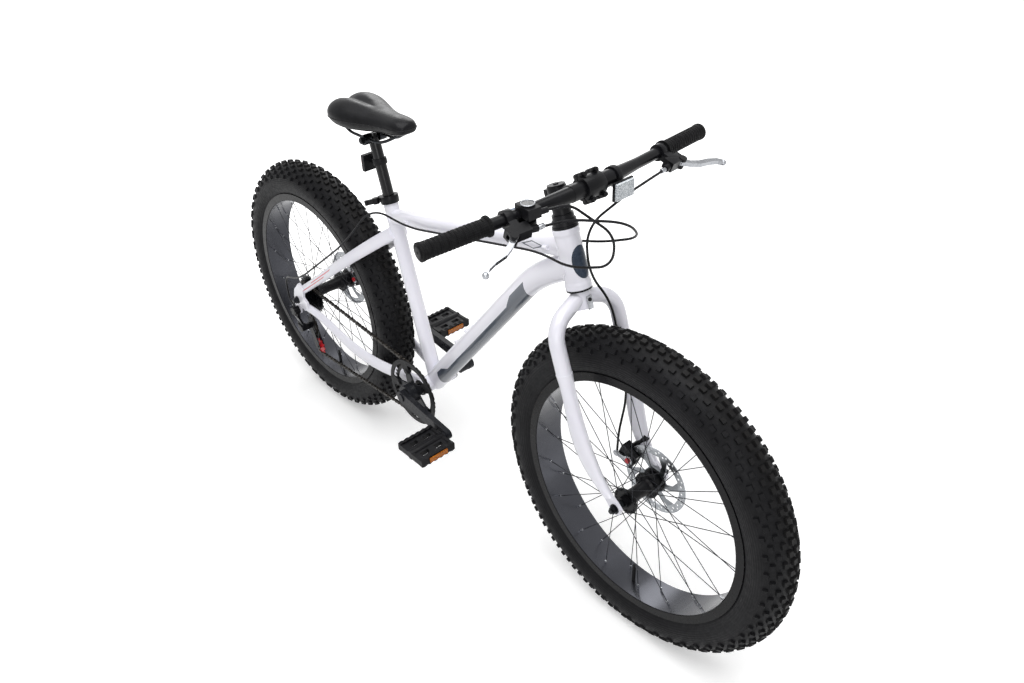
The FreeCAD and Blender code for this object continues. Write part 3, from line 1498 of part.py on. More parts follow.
def saddle_base():
    """Two bent rails held by the clamp cheeks on the post's cross bolt."""
    pieces = []
    clamp = saddle_pivot
    for side in SIDES:
        points = [Vector(-345, side * 30, 938), Vector(-318, side * 24, clamp.z + 4),
                  Vector(-200, side * 22, clamp.z + 4), Vector(-140, side * 8, 946)]
        rail = pipe(points, 3.5).cut(saddle())
        pieces.append(biggest(rail))
    parts = [bar(clamp - Y * 38, clamp + Y * 38, clamp_bolt_radius)]
    for side in SIDES:
        way = Y * side
        parts.append(bar(clamp + way * (11 + free_gap), clamp + way * 30, 12.0))
        parts.append(hexagon(clamp + way * 30, way, 13.0, 7.0))
    yoke = union(parts).cut(group(pieces))
    return group(pieces + [biggest(yoke)])


# Cables
def front_brake_cable():
    """Left lever to the front caliper, close in front of the head tube and down the left blade."""
    spot, out, ahead, up = lever_frame(1)
    start = spot + ahead * 41 - out * 36.5
    points = [start, start - out * 40 + ahead * 2, Vector(446, 84, 966), Vector(412, 10, 912),
              Vector(430, 0, 826), Vector(450, 44, 752), Vector(462, 60, 660), Vector(492, 58, 540),
              Vector(490, 38, 450), Vector(488, 37.7, 395)]
    return pipe(points, cable_radius)


def rear_brake_cable():
    """Right lever round the head tube to the left of the top tube, then down the left stay."""
    spot, out, ahead, up = lever_frame(-1)
    start = spot + ahead * 41 - out * 36.5
    points = [start, start - out * 60 + ahead * 8, Vector(530, -8, 970), Vector(512, 50, 912),
              Vector(420, 46, 870), Vector(330, 32, 848), Vector(-190, 30, 722), Vector(-290, 82, 640),
              Vector(-440, 92, 530),
              Vector(-510, 66, 482), Vector(-548, 56.7, 422)]
    return pipe(points, cable_radius)


def shift_cable():
    """Shifter round the head tube, right of the top tube, over the seat tube and down the right stay."""
    spot, out, ahead, up = shift_frame()
    start = spot + ahead * 28 + up * 6 - out * 30.5
    points = [start, start - out * 40 + ahead * 10, Vector(516, -24, 945), Vector(512, -26, 882),
              Vector(430, -50, 856), Vector(330, -34, 846), Vector(-110, -30, 738),
              Vector(-230, -46, 756), Vector(-318, -80, 640),
              Vector(-540, -108, 458), Vector(-645, -97, 420),
              Vector(-645, -97, 348), Vector(-606.8, -104, 337)]
    return pipe(points, cable_radius)


PIECES = {
    "head_tube": head_tube,
    "top_tube": top_tube,
    "down_tube": down_tube,
    "seat_tube": seat_tube,
    "rear_triangle": rear_triangle,
    "headset": headset,
    "bottom_bracket": bottom_bracket,
    "fork_steerer": fork_steerer,
    "fork_blades": fork_blades,
    "headset_spacers": headset_spacers,
    "stem": stem,
    "handlebar": handlebar,
    "grips": grips,
    "lever_brackets": lever_brackets,
    "right_lever_blade": lambda: lever_blade(-1),
    "left_lever_blade": lambda: lever_blade(1),
    "shifter_body": shifter_body,
    "thumb_lever": thumb_lever,
    "front_reflector": front_reflector,
    "seat_clamp": seat_clamp,
    "seat_clamp_lever": seat_clamp_lever,
    "seatpost": seatpost,
    "rear_reflector": rear_reflector,
    "saddle": saddle,
    "saddle_base": saddle_base,
    "crank_axles": crank_axles,
    "crank_arms": crank_arms,
    "chainring": chainring,
    "chain_guard": chain_guard,
    "right_pedal": lambda: pedal(-1),
    "left_pedal": lambda: pedal(1),
    "chain": chain,
    "freewheel_cogs": freewheel,
    "derailleur_body": derailleur_body,
    "derailleur_link": derailleur_link,
    "derailleur_knuckle": derailleur_knuckle,
    "derailleur_cage": derailleur_cage,
    "guide_pulley": lambda: pulley(guide_centre),
    "tension_pulley": lambda: pulley(tension_centre),
    "front_rim": lambda: rim(front_axle, front_flanges),
    "rear_rim": lambda: rim(rear_axle, rear_flanges),
    "front_spokes": lambda: spokes(front_axle, front_flanges),
    "rear_spokes": lambda: spokes(rear_axle, rear_flanges),
    "front_inner_tube": lambda: inner_tube(front_axle),
    "rear_inner_tube": lambda: inner_tube(rear_axle),
    "front_hub": lambda: hub_shell(front_axle, front_flanges, front_rotor_y, front_nose),
    "rear_hub": lambda: hub_shell(rear_axle, rear_flanges, rear_rotor_y, rear_nose),
    "front_axle": lambda: wheel_axle(front_axle, front_hub_width, (-front_nose, front_rotor_y + 3)),
    "rear_axle": lambda: wheel_axle(rear_axle, rear_hub_width, (-rear_nose, rear_rotor_y + 3)),
    "front_rotor": lambda: rotor(front_axle, front_rotor_y),
    "rear_rotor": lambda: rotor(rear_axle, rear_rotor_y),
    "front_caliper": front_caliper,
    "rear_caliper": rear_caliper,
    "front_caliper_arm": lambda: caliper_arm(front_axle, front_rotor_y, front_caliper_angle, front_arm_angle),
    "rear_caliper_arm": lambda: caliper_arm(rear_axle, rear_rotor_y, rear_caliper_angle, rear_arm_angle),
    "front_brake_cable": front_brake_cable,
    "rear_brake_cable": rear_brake_cable,
    "shift_cable": shift_cable,
}

os.makedirs("parts", exist_ok=True)
for name, make in PIECES.items():
    make().exportStep("parts/" + name + ".step")
whole_tyre = tyre()
for name, axle in (("front_tyre", front_axle), ("rear_tyre", rear_axle)):
    placed = whole_tyre.copy()
    placed.translate(axle)
    placed.exportStep("parts/" + name + ".step")
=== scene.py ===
# %% [markdown]
# # Fat tyre bicycle, the looks
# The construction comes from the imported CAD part, which stays where it is.
# This notebook gives every piece its finish, makes the padded saddle cover and a few small fittings,
# and sets up the floor, the lamps and the camera. Lengths are metres, X is forward and Y is the rider's left.

# %% Load the part
import math

import bmesh
import bpy
from mathutils import Matrix, Vector
from mathutils.bvhtree import BVHTree


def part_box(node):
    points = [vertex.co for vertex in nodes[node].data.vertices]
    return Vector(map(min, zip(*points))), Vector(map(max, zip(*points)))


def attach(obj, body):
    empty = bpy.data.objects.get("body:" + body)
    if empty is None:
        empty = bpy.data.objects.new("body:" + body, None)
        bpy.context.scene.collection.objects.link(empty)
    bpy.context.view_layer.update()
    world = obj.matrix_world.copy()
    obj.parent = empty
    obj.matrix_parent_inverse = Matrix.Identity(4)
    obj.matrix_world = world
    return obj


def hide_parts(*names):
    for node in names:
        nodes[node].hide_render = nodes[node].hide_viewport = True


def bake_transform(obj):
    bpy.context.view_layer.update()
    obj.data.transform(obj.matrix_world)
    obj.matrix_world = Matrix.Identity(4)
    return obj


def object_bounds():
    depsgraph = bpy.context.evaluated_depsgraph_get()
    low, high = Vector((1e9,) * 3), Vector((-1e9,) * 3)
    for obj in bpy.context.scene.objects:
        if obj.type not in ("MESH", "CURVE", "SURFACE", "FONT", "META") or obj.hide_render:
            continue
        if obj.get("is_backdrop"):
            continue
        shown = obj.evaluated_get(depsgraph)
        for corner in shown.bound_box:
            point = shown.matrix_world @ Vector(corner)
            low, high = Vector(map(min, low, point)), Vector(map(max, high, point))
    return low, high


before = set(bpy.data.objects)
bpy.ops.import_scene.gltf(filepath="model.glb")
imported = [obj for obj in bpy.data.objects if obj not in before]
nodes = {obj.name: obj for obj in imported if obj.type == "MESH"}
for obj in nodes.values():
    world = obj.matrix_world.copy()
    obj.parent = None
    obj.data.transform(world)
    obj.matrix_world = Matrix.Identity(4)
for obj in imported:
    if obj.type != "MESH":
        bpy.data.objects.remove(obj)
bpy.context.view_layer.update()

# %% [markdown]
# ## Places that several steps need
# The wheels turn about their axles, and the stripes, the welds and the badge follow the tubes.
# The middle of an axle is read from the frame. The tubes lean, so a box doesn't show their middle lines,
# and points on those lines are written here once, as the CAD part has them.

# %% Named places


def middle_of(name):
    """Middle of a CAD node's box."""
    low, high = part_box(name)
    return (low + high) / 2


def square_to(run):
    """Direction square to a tube in the middle plane: up if it runs forward, down if it runs back."""
    return Vector((-run.z, 0.0, run.x))


front_axle = middle_of("front_axle")
rear_axle = middle_of("rear_axle")
bracket = middle_of("bottom_bracket")
down_bend = Vector((0.285, 0.0, 0.762))
top_back = Vector((-0.208, 0.0, 0.722))
top_front = Vector((0.380, 0.0, 0.865))
head_low = Vector((0.406, 0.0, 0.785))
head_high = Vector((0.3683, 0.0, 0.901))
steer_up = (head_high - head_low).normalized()
steer_ahead = -square_to(steer_up)
print("wheelbase", round(front_axle.x - rear_axle.x, 3))

# %% [markdown]
# ## Small helpers for shaders
# A shader is a graph of nodes. It could be drawn by hand in the editor, but code shows every setting.
# One helper adds any node, sets it and links it.
# Colours are written as sRGB hex codes, the way a colour picker shows them, and turned into linear light.

# %% Shader helpers


def linear(code):
    """Linear colour for the shader from an sRGB hex code."""
    parts = [int(code[start:start + 2], 16) / 255 for start in (1, 3, 5)]
    return [p / 12.92 if p < 0.04045 else ((p + 0.055) / 1.055) ** 2.4 for p in parts] + [1.0]


def output_of(source):
    """Where a link starts: the first live output of a node, or the value as it is."""
    if isinstance(source, bpy.types.Node):
        return next(socket for socket in source.outputs if socket.enabled)
    return source


def add(tree, kind, inputs=None, **settings):
    """Adds one shader node, sets it, then fills or links its inputs."""
    node = tree.nodes.new("ShaderNode" + kind)
    for name, value in settings.items():
        setattr(node, name, value)
    for name, value in (inputs or {}).items():
        value = output_of(value)
        if isinstance(value, bpy.types.NodeSocket):
            tree.links.new(value, node.inputs[name])
        else:
            node.inputs[name].default_value = value
    return node


def new_material(name, **inputs):
    """A material with one Principled shader; the inputs are constants on its own sockets."""
    material = bpy.data.materials.new(name)
    material.use_nodes = True
    tree = material.node_tree
    shader = tree.nodes["Principled BSDF"]
    for socket, value in inputs.items():
        shader.inputs[socket.replace("_", " ")].default_value = value
    return material, tree, shader


def feed(tree, shader, **sources):
    """Links nodes to the shader's sockets."""
    for socket, source in sources.items():
        tree.links.new(output_of(source), shader.inputs[socket.replace("_", " ")])


print("shader helpers ready")

# %% [markdown]
# ## Patterns
# No real surface is one even colour, so each finish mixes a few patterns. They could come from pictures,
# but noise and waves need no file and have no seams. All are fixed to the piece and move with it.

# %% Patterns and distances


def cloud(tree, size, detail=3.0):
    """Noise with features about this many metres across."""
    place = add(tree, "TexCoord").outputs["Object"]
    return add(tree, "TexNoise", {"Vector": place, "Scale": 0.5 / size, "Detail": detail}).outputs[0]


def offset_from(tree, origin):
    """Vector from a point to the place that is shaded."""
    place = add(tree, "TexCoord").outputs["Object"]
    return add(tree, "VectorMath", {0: place, 1: origin}, operation="SUBTRACT")


def distance_along(tree, origin, direction):
    """Metres along a direction from a point."""
    inputs = {0: offset_from(tree, origin), 1: direction}
    return add(tree, "VectorMath", inputs, operation="DOT_PRODUCT").outputs["Value"]


def distance_from_axle(tree, axle):
    """Metres from a wheel axle, measured square to it."""
    inputs = {0: offset_from(tree, axle), 1: (1.0, 0.0, 1.0)}
    flat = add(tree, "VectorMath", inputs, operation="MULTIPLY")
    return add(tree, "VectorMath", {0: flat}, operation="LENGTH").outputs["Value"]


def ripple(tree, distance, rate):
    """Even waves along a distance; the rate is in radians per metre."""
    phase = add(tree, "Math", {0: distance, 1: rate}, operation="MULTIPLY")
    return add(tree, "Math", {0: phase}, operation="SINE")


def between(tree, pattern, low, high):
    """Number that follows a pattern from one value to another; noise mostly lies from 0.3 to 0.7."""
    ends = {"Value": pattern, "From Min": 0.3, "From Max": 0.7, "To Min": low, "To Max": high}
    return add(tree, "MapRange", ends)


def mottle(tree, pattern, first, second):
    """Colour that follows a pattern from one hex tone to another; sockets 6 and 7 are the colours."""
    share = between(tree, pattern, 0.0, 1.0)
    return add(tree, "Mix", {"Factor": share, 6: linear(first), 7: linear(second)}, data_type="RGBA")


def raise_surface(tree, shader, height, depth):
    """Lets a pattern tilt the surface as if it had that depth in metres."""
    bump = add(tree, "Bump", {"Height": height, "Distance": depth, "Strength": 1.0})
    feed(tree, shader, Normal=bump)


print("patterns ready")

# %% [markdown]
# ## White lacquer
# The frame and fork are aluminium tubes sprayed white and clear coated, so the eye sees a soft body colour
# under a sharp, thin gloss. One flat white would look like plastic, so the tone wanders a little,
# and the orange peel of sprayed paint is a very low bump.

# %% White lacquer


def white_lacquer(name):
    """Sprayed white paint under clear coat: bright body, crisp reflections that waver a little."""
    material, tree, shader = new_material(name, Roughness=0.32, IOR=1.5, Coat_Weight=0.7, Coat_Roughness=0.06)
    feed(tree, shader, Base_Color=mottle(tree, cloud(tree, 0.06), "#E4E3ED", "#EAE9F1"))
    raise_surface(tree, shader, cloud(tree, 0.003, 2.0), 0.00004)
    return material, tree, shader


plain_white, _, _ = white_lacquer("white_lacquer")
print("paint", plain_white.name)

# %% [markdown]
# ## Plain stripes in the paint
# A slate stripe runs along the down tube, a lozenge sits on the top tube and thin red lines on the stays.
# They could be decals, but a mask in the paint needs no extra mesh and follows the tube exactly.
# Each mask measures how far a point lies along its tube, and above or below the tube's middle line.

# %% Masks for a second colour


def lay_over(tree, shader, mask, code):
    """Lays a second paint colour over the first wherever the mask is 1."""
    under = shader.inputs["Base Color"].links[0].from_socket
    mix = add(tree, "Mix", {"Factor": mask, 6: under, 7: linear(code)}, data_type="RGBA")
    feed(tree, shader, Base_Color=mix)


def both(tree, first, second):
    """1 where both masks are 1."""
    return add(tree, "Math", {0: first, 1: second}, operation="MULTIPLY")


def within(tree, value, low, high):
    """1 where a value lies between two others, which may be nodes."""
    above = add(tree, "Math", {0: value, 1: low}, operation="GREATER_THAN")
    below = add(tree, "Math", {0: value, 1: high}, operation="LESS_THAN")
    return both(tree, above, below)


def slanted(tree, along, height, slant):
    """Distance along a tube that shifts with the height, so that an end cut by it slants."""
    return add(tree, "Math", {0: height, 1: slant, 2: along}, operation="MULTIPLY_ADD")


print("mask helpers ready")

# %% Down tube stripe
slate = "#3B4452"
stripe_bottom = -0.040
stripe_top = -0.009
stripe_start = 0.070
stripe_end = 0.585
stripe_slant = -0.9
flare_rise = 0.012
upper_flare = {"From Min": 0.485, "From Max": 0.520, "To Max": flare_rise}
lower_flare = {"From Min": 0.125, "From Max": 0.100, "To Max": flare_rise}


def slate_stripe():
    """Down tube paint: a stripe below the middle line that widens near its two slanted ends."""
    material, tree, shader = white_lacquer("white_lacquer_slate_stripe")
    run = (down_bend - bracket).normalized()
    along = distance_along(tree, bracket, run)
    height = distance_along(tree, bracket, square_to(run))
    upper = add(tree, "MapRange", {"Value": along, **upper_flare})
    lower = add(tree, "MapRange", {"Value": along, **lower_flare})
    flares = add(tree, "Math", {0: upper, 1: lower}, operation="ADD")
    edge = add(tree, "Math", {0: flares, 1: stripe_top}, operation="ADD")
    band = within(tree, height, stripe_bottom, edge)
    ends = within(tree, slanted(tree, along, height, stripe_slant), stripe_start, stripe_end)
    lay_over(tree, shader, both(tree, band, ends), slate)
    return material


down_white = slate_stripe()
print("paint", down_white.name)

# %% Top tube lozenge
lozenge_middle = Vector((0.300, 0.0, 0.846))
lozenge_half_long = 0.034
lozenge_half_high = 0.009
lozenge_hole = 0.74


def share_of(tree, distance, size):
    """A distance, either way, as a share of a size."""
    share = add(tree, "Math", {0: distance, 1: size}, operation="DIVIDE")
    return add(tree, "Math", {0: share}, operation="ABSOLUTE")


def slate_lozenge():
    """Top tube paint with the outline of a lozenge on each side."""
    material, tree, shader = white_lacquer("white_lacquer_lozenge")
    run = (top_front - top_back).normalized()
    along = share_of(tree, distance_along(tree, lozenge_middle, run), lozenge_half_long)
    height = share_of(tree, distance_along(tree, lozenge_middle, square_to(run)), lozenge_half_high)
    reach = add(tree, "Math", {0: along, 1: height}, operation="ADD")
    lay_over(tree, shader, within(tree, reach, lozenge_hole, 1.0), slate)
    return material


top_white = slate_lozenge()
print("paint", top_white.name)

# %% Lines on the stays
stay_top = Vector((-0.1989, 0.0, 0.6872))
stay_end = rear_axle + Vector((0.014, 0.0, 0.030))
stay_slant = -3.0
stay_red = "#D0545E"
upper_line = {"low": -0.0045, "high": -0.0015, "start": 0.27, "end": 0.40}
lower_line = {"low": 0.002, "high": 0.0045, "start": 0.30, "end": 0.43}


def red_lines():
    """Rear triangle paint with two thin, staggered lines on the seat stays, which run down and back."""
    material, tree, shader = white_lacquer("white_lacquer_red_lines")
    run = (stay_end - stay_top).normalized()
    along = distance_along(tree, stay_top, run)
    depth = distance_along(tree, stay_top, square_to(run))
    lean = slanted(tree, along, depth, stay_slant)
    for line in (upper_line, lower_line):
        band = within(tree, depth, line["low"], line["high"])
        ends = within(tree, lean, line["start"], line["end"])
        lay_over(tree, shader, both(tree, band, ends), stay_red)
    return material


stay_white = red_lines()
print("paint", stay_white.name)

# %% [markdown]
# ## Black coats on metal
# Bars, hubs and brakes are aluminium with a black powder coat or anodising. Plain black would swallow
# their form, so a fine grain softens the highlight. The grain is coarser than the real one, because finer
# grain would vanish at this distance.

# %% Powder coat and anodising


def black_coat(name, first="#0B0B0D", second="#131316", gloss=0.3, shine=0.14):
    """Black powder coat on aluminium: satin, with a fine pebble that breaks up the highlight."""
    material, tree, shader = new_material(name, IOR=1.5, Specular_IOR_Level=shine)
    feed(tree, shader, Base_Color=mottle(tree, cloud(tree, 0.02), first, second))
    feed(tree, shader, Roughness=between(tree, cloud(tree, 0.008), gloss - 0.05, gloss + 0.07))
    raise_surface(tree, shader, cloud(tree, 0.0012, 1.0), 0.00004)
    return material


black_metal = black_coat("black_powder_coat")
dark_alloy = black_coat("dark_grey_crank_paint", "#1B1C1F", "#26272B", gloss=0.28)
post_black = black_coat("black_polished_anodising", "#08080A", "#0F0F12", gloss=0.17, shine=0.25)
flange_black = black_coat("black_rim_flange", "#08080A", "#0E0E10", gloss=0.26, shine=0.12)
print("coats", black_metal.name, dark_alloy.name, post_black.name, flange_black.name)

# %% Rims
polish_rate = 2600.0


def polished_rim(name, axle):
    """Rolled rim, polished and dark anodised: smoky mirror, with a faint ring each 2.4 mm from polishing."""
    material, tree, shader = new_material(name, Metallic=0.9)
    feed(tree, shader, Base_Color=mottle(tree, cloud(tree, 0.05), "#434449", "#4B4C51"))
    feed(tree, shader, Roughness=between(tree, cloud(tree, 0.06), 0.22, 0.28))
    raise_surface(tree, shader, ripple(tree, distance_from_axle(tree, axle), polish_rate), 0.000006)
    return material


front_rim_black = polished_rim("front_rim_anodised", front_axle)
rear_rim_black = polished_rim("rear_rim_anodised", rear_axle)
print("rims", front_rim_black.name, rear_rim_black.name)

# %% [markdown]
# ## Bare metals
# Bare metal keeps the marks of how it was made and used: streaks on spokes and levers, ground rings on
# the discs, oil on the chain. A mirror would be simpler, but those marks tell the eye which metal it is.
# They are coarser than the real ones, so that they show at all.

# %% Drawn and forged metal
streaks = (40.0, 300.0, 300.0)


def drawn_metal(name, first, second, roughness=0.3):
    """Drawn or forged metal: bright, with streaks along its length."""
    material, tree, shader = new_material(name, Metallic=1.0)
    place = add(tree, "TexCoord").outputs["Object"]
    pulled = add(tree, "Mapping", {"Vector": place, "Scale": streaks})
    grain = add(tree, "TexNoise", {"Vector": pulled, "Scale": 1.0, "Detail": 4.0}).outputs[0]
    feed(tree, shader, Base_Color=mottle(tree, grain, first, second))
    feed(tree, shader, Roughness=between(tree, grain, roughness - 0.06, roughness + 0.1))
    raise_surface(tree, shader, grain, 0.00001)
    return material


spoke_steel = drawn_metal("black_drawn_spoke_steel", "#232427", "#38393D")
nipple_brass = drawn_metal("plated_nipple_brass", "#B4B6BA", "#D4D5D8", roughness=0.22)
lever_silver = drawn_metal("polished_lever_aluminium", "#8E9094", "#A8AAAE", roughness=0.22)
dark_steel = drawn_metal("black_oxide_steel", "#1D1E20", "#323438", roughness=0.38)
print("drawn metals", spoke_steel.name, nipple_brass.name, lever_silver.name, dark_steel.name)

# %% Brake discs
pad_inside = 0.062
pad_outside = 0.081
ground_rings = 660.0


def ground_disc(name, axle):
    """Stamped stainless disc, ground in rings and paler where the pads rub."""
    material, tree, shader = new_material(name, Metallic=1.0)
    radius = distance_from_axle(tree, axle)
    position = add(tree, "CombineXYZ", {"X": radius})
    grain = add(tree, "TexNoise", {"Vector": position, "Scale": ground_rings, "Detail": 3.0}).outputs[0]
    rubbed = within(tree, radius, pad_inside, pad_outside)
    feed(tree, shader, Base_Color=mottle(tree, rubbed, "#85888C", "#A2A5A9"))
    feed(tree, shader, Roughness=between(tree, grain, 0.22, 0.4))
    raise_surface(tree, shader, grain, 0.00003)
    return material


front_disc = ground_disc("front_disc_stainless", front_axle)
rear_disc = ground_disc("rear_disc_stainless", rear_axle)
print("discs", front_disc.name, rear_disc.name)

# %% Chain


def oiled_steel(name):
    """Phosphated steel under oil and dust, brown in the low spots."""
    material, tree, shader = new_material(name, Metallic=0.85)
    stain = cloud(tree, 0.01, 4.0)
    feed(tree, shader, Base_Color=mottle(tree, stain, "#171615", "#3D3935"))
    feed(tree, shader, Roughness=between(tree, cloud(tree, 0.003), 0.3, 0.55))
    raise_surface(tree, shader, stain, 0.00005)
    return material


chain_steel = oiled_steel("oiled_chain_steel")
print("chain", chain_steel.name)

# %% [markdown]
# ## Rubber
# Rubber scatters light softly and picks up dust on the tread, so the blocks are paler than the walls.
# The walls carry fine rings from the mould, and the grips a knurl for the hand. Both could be modelled,
# but they are under a millimetre deep, so a bump is enough.

# %% Tyres
dust_start = 0.358
dust_full = 0.370
wall_inside = 0.292
wall_outside = 0.335
mould_rate = 1250.0


def tyre_rubber(name, axle):
    """Moulded tyre: matt walls with a mould ring each 5 mm, dusty block tops."""
    material, tree, shader = new_material(name, IOR=1.52, Specular_IOR_Level=0.1)
    radius = distance_from_axle(tree, axle)
    feed(tree, shader, Base_Color=mottle(tree, cloud(tree, 0.03), "#0D0D0F", "#151517"))
    ends = {"Value": radius, "From Min": dust_start, "From Max": dust_full, "To Max": 0.55}
    lay_over(tree, shader, add(tree, "MapRange", ends), "#1D1C1B")
    feed(tree, shader, Roughness=between(tree, cloud(tree, 0.004), 0.44, 0.62))
    ribs = both(tree, ripple(tree, radius, mould_rate), within(tree, radius, wall_inside, wall_outside))
    grain = add(tree, "Math", {0: cloud(tree, 0.002), 1: 1.2, 2: ribs}, operation="MULTIPLY_ADD")
    raise_surface(tree, shader, grain, 0.00018)
    return material


front_rubber = tyre_rubber("front_tyre_rubber", front_axle)
rear_rubber = tyre_rubber("rear_tyre_rubber", rear_axle)
print("tyres", front_rubber.name, rear_rubber.name)

# %% Grips
grip_middle = Vector((0.402, 0.0, 0.997))
diamonds_round = 16.0
diamond_rate = 1000.0


def grip_rubber(name):
    """Hand grip: soft rubber with a diamond knurl, where two sets of spiral waves cross; the knurl's valleys
    are painted darker as shade.
    """
    material, tree, shader = new_material(name, IOR=1.52, Specular_IOR_Level=0.1)
    parts = add(tree, "SeparateXYZ", {"Vector": offset_from(tree, grip_middle)})
    turn = add(tree, "Math", {0: parts.outputs["Z"], 1: parts.outputs["X"]}, operation="ARCTAN2")
    around = add(tree, "Math", {0: turn, 1: diamonds_round}, operation="MULTIPLY")
    waves = []
    for rate in (diamond_rate, -diamond_rate):
        phase = add(tree, "Math", {0: parts.outputs["Y"], 1: rate, 2: around}, operation="MULTIPLY_ADD")
        waves.append(add(tree, "Math", {0: phase}, operation="SINE"))
    knurl = add(tree, "Math", {0: waves[0], 1: waves[1]}, operation="MULTIPLY")
    # Painted shade: the colour follows the knurl's height, darker in its valleys and lighter on its ridges.
    feed(tree, shader, Base_Color=mottle(tree, knurl, "#0A0A0B", "#161618"))
    feed(tree, shader, Roughness=between(tree, cloud(tree, 0.004), 0.55, 0.75))
    raise_surface(tree, shader, knurl, 0.0004)
    return material


knurled_rubber = grip_rubber("knurled_grip_rubber")
print("grips", knurled_rubber.name)

# %% [markdown]
# ## Plastic, lenses and cover
# Moulded plastic has a fine spark-eroded grain. A reflector is clear plastic over rows of small prisms, which
# could be modelled one by one,
# but a cell pattern stands in for them: each cell gets a random lighter or darker tone as a painted glint,
# and a bump tilts it.
# The saddle cover is synthetic leather with a pebble grain.

# %% Moulded plastic


def moulded_plastic(name, first, second, roughness=0.45, shine=0.15):
    """Injection moulded plastic: even colour, fine eroded grain, broad soft highlight."""
    material, tree, shader = new_material(name, IOR=1.49, Specular_IOR_Level=shine)
    feed(tree, shader, Base_Color=mottle(tree, cloud(tree, 0.01), first, second))
    feed(tree, shader, Roughness=between(tree, cloud(tree, 0.004), roughness - 0.08, roughness + 0.1))
    raise_surface(tree, shader, cloud(tree, 0.0012, 2.0), 0.00008)
    return material


black_plastic = moulded_plastic("black_nylon", "#0B0B0D", "#141417")
window_plastic = moulded_plastic("smoked_window_acrylic", "#141619", "#24272C", roughness=0.12, shine=0.5)
thumb_plastic = moulded_plastic("slate_thumb_pad", "#4D5C70", "#63738A", roughness=0.5, shine=0.3)
red_plastic = moulded_plastic("red_acetal", "#B01620", "#CC2A33", roughness=0.35, shine=0.3)
cable_skin = moulded_plastic("black_cable_housing", "#0E0E10", "#17171A", roughness=0.32)
butyl = moulded_plastic("butyl_inner_tube", "#161617", "#202022", roughness=0.6)
badge_slate = moulded_plastic("slate_badge_enamel", "#2F3947", "#3B4452", roughness=0.25)
plastics = (black_plastic, window_plastic, thumb_plastic, red_plastic, cable_skin, butyl, badge_slate)
print("plastics", [plastic.name for plastic in plastics])

# %% Reflector lenses and leather
prisms_per_metre = 620.0
pebbles_per_metre = 520.0


def reflector(name, first, second):
    """Reflector lens: glossy plastic over prisms of about 1.6 mm; it sparkles in small squares through
    painted glints, a random tone for each, and a bump that tilts them.
    """
    material, tree, shader = new_material(name, IOR=1.49, Roughness=0.12, Specular_IOR_Level=0.3,
                                          Coat_Weight=0.2)
    place = add(tree, "TexCoord").outputs["Object"]
    prisms = add(tree, "TexVoronoi", {"Vector": place, "Scale": prisms_per_metre, "Randomness": 0.2})
    # Painted glints: each prism cell takes a random tone between the two colours, which stands in for its
    # sparkle.
    feed(tree, shader, Base_Color=mottle(tree, prisms.outputs["Color"], first, second))
    raise_surface(tree, shader, prisms.outputs["Distance"], 0.0003)
    return material


def saddle_leather(name):
    """Synthetic leather pulled over foam: dark, glossy where it is tight, with pebbles of about 2 mm."""
    material, tree, shader = new_material(name, IOR=1.5, Specular_IOR_Level=0.12, Coat_Weight=0.04)
    place = add(tree, "TexCoord").outputs["Object"]
    pebble = add(tree, "TexVoronoi", {"Vector": place, "Scale": pebbles_per_metre}).outputs["Distance"]
    feed(tree, shader, Base_Color=mottle(tree, cloud(tree, 0.02), "#0B0B0D", "#131316"))
    feed(tree, shader, Roughness=between(tree, cloud(tree, 0.01), 0.28, 0.4))
    raise_surface(tree, shader, pebble, 0.00012)
    return material


clear_lens = reflector("clear_reflector", "#E3E7EA", "#9BA2A9")
amber_lens = reflector("amber_reflector", "#C8741B", "#8E4A10")
red_lens = reflector("red_reflector", "#A3121C", "#6B0A12")
leather = saddle_leather("black_synthetic_leather")
print("materials", len(bpy.data.materials))

# %% [markdown]
# ## Hand the finishes to the CAD pieces
# Each CAD node takes one material, and a few hold parts of another finish, such as a lens in its holder.
# Those parts could be nodes of their own, but faces can be found by where they lie, which leaves the mesh
# as it is.

# %% Finish of each node
finish_of = {
    plain_white: ["head_tube", "seat_tube", "fork_steerer", "fork_blades"],
    down_white: ["down_tube"],
    top_white: ["top_tube"],
    stay_white: ["rear_triangle"],
    black_metal: ["headset", "bottom_bracket", "headset_spacers", "stem", "handlebar", "lever_brackets",
                  "seat_clamp", "seat_clamp_lever", "front_hub", "rear_hub", "front_caliper",
                  "rear_caliper", "chainring", "derailleur_body", "derailleur_link", "derailleur_knuckle",
                  "derailleur_cage"],
    dark_alloy: ["crank_arms", "crank_axles"],
    post_black: ["seatpost"],
    dark_steel: ["saddle_base", "front_axle", "rear_axle", "freewheel_cogs"],
    lever_silver: ["right_lever_blade", "left_lever_blade", "front_caliper_arm", "rear_caliper_arm"],
    front_rim_black: ["front_rim"],
    rear_rim_black: ["rear_rim"],
    spoke_steel: ["front_spokes", "rear_spokes"],
    front_disc: ["front_rotor"],
    rear_disc: ["rear_rotor"],
    chain_steel: ["chain"],
    front_rubber: ["front_tyre"],
    rear_rubber: ["rear_tyre"],
    knurled_rubber: ["grips"],
    butyl: ["front_inner_tube", "rear_inner_tube"],
    black_plastic: ["shifter_body", "thumb_lever", "front_reflector", "rear_reflector", "chain_guard",
                    "right_pedal", "left_pedal", "guide_pulley"],
    red_plastic: ["tension_pulley"],
    cable_skin: ["front_brake_cable", "rear_brake_cable", "shift_cable"],
    leather: ["saddle"],
}
for material, names in finish_of.items():
    for name in names:
        nodes[name].data.materials.clear()
        nodes[name].data.materials.append(material)
print("finished nodes", sum(len(names) for names in finish_of.values()), "of", len(nodes))

# %% Faces with a finish of their own
nipple_radius = 0.2555
bolt_head = 0.0014
flange_depth = 0.0016
pedal_lens = 0.00285
rear_lens = 0.0041
front_lens = 0.0051
window_depth = 0.002577
thumb_pad = 0.01077


def repaint(name, material, chosen):
    """Gives another material to the faces of a node whose centre passes the test."""
    mesh = nodes[name].data
    mesh.materials.append(material)
    count = 0
    for face in mesh.polygons:
        if chosen(face.center):
            face.material_index = len(mesh.materials) - 1
            count += 1
    print(name, material.name, count, "faces")


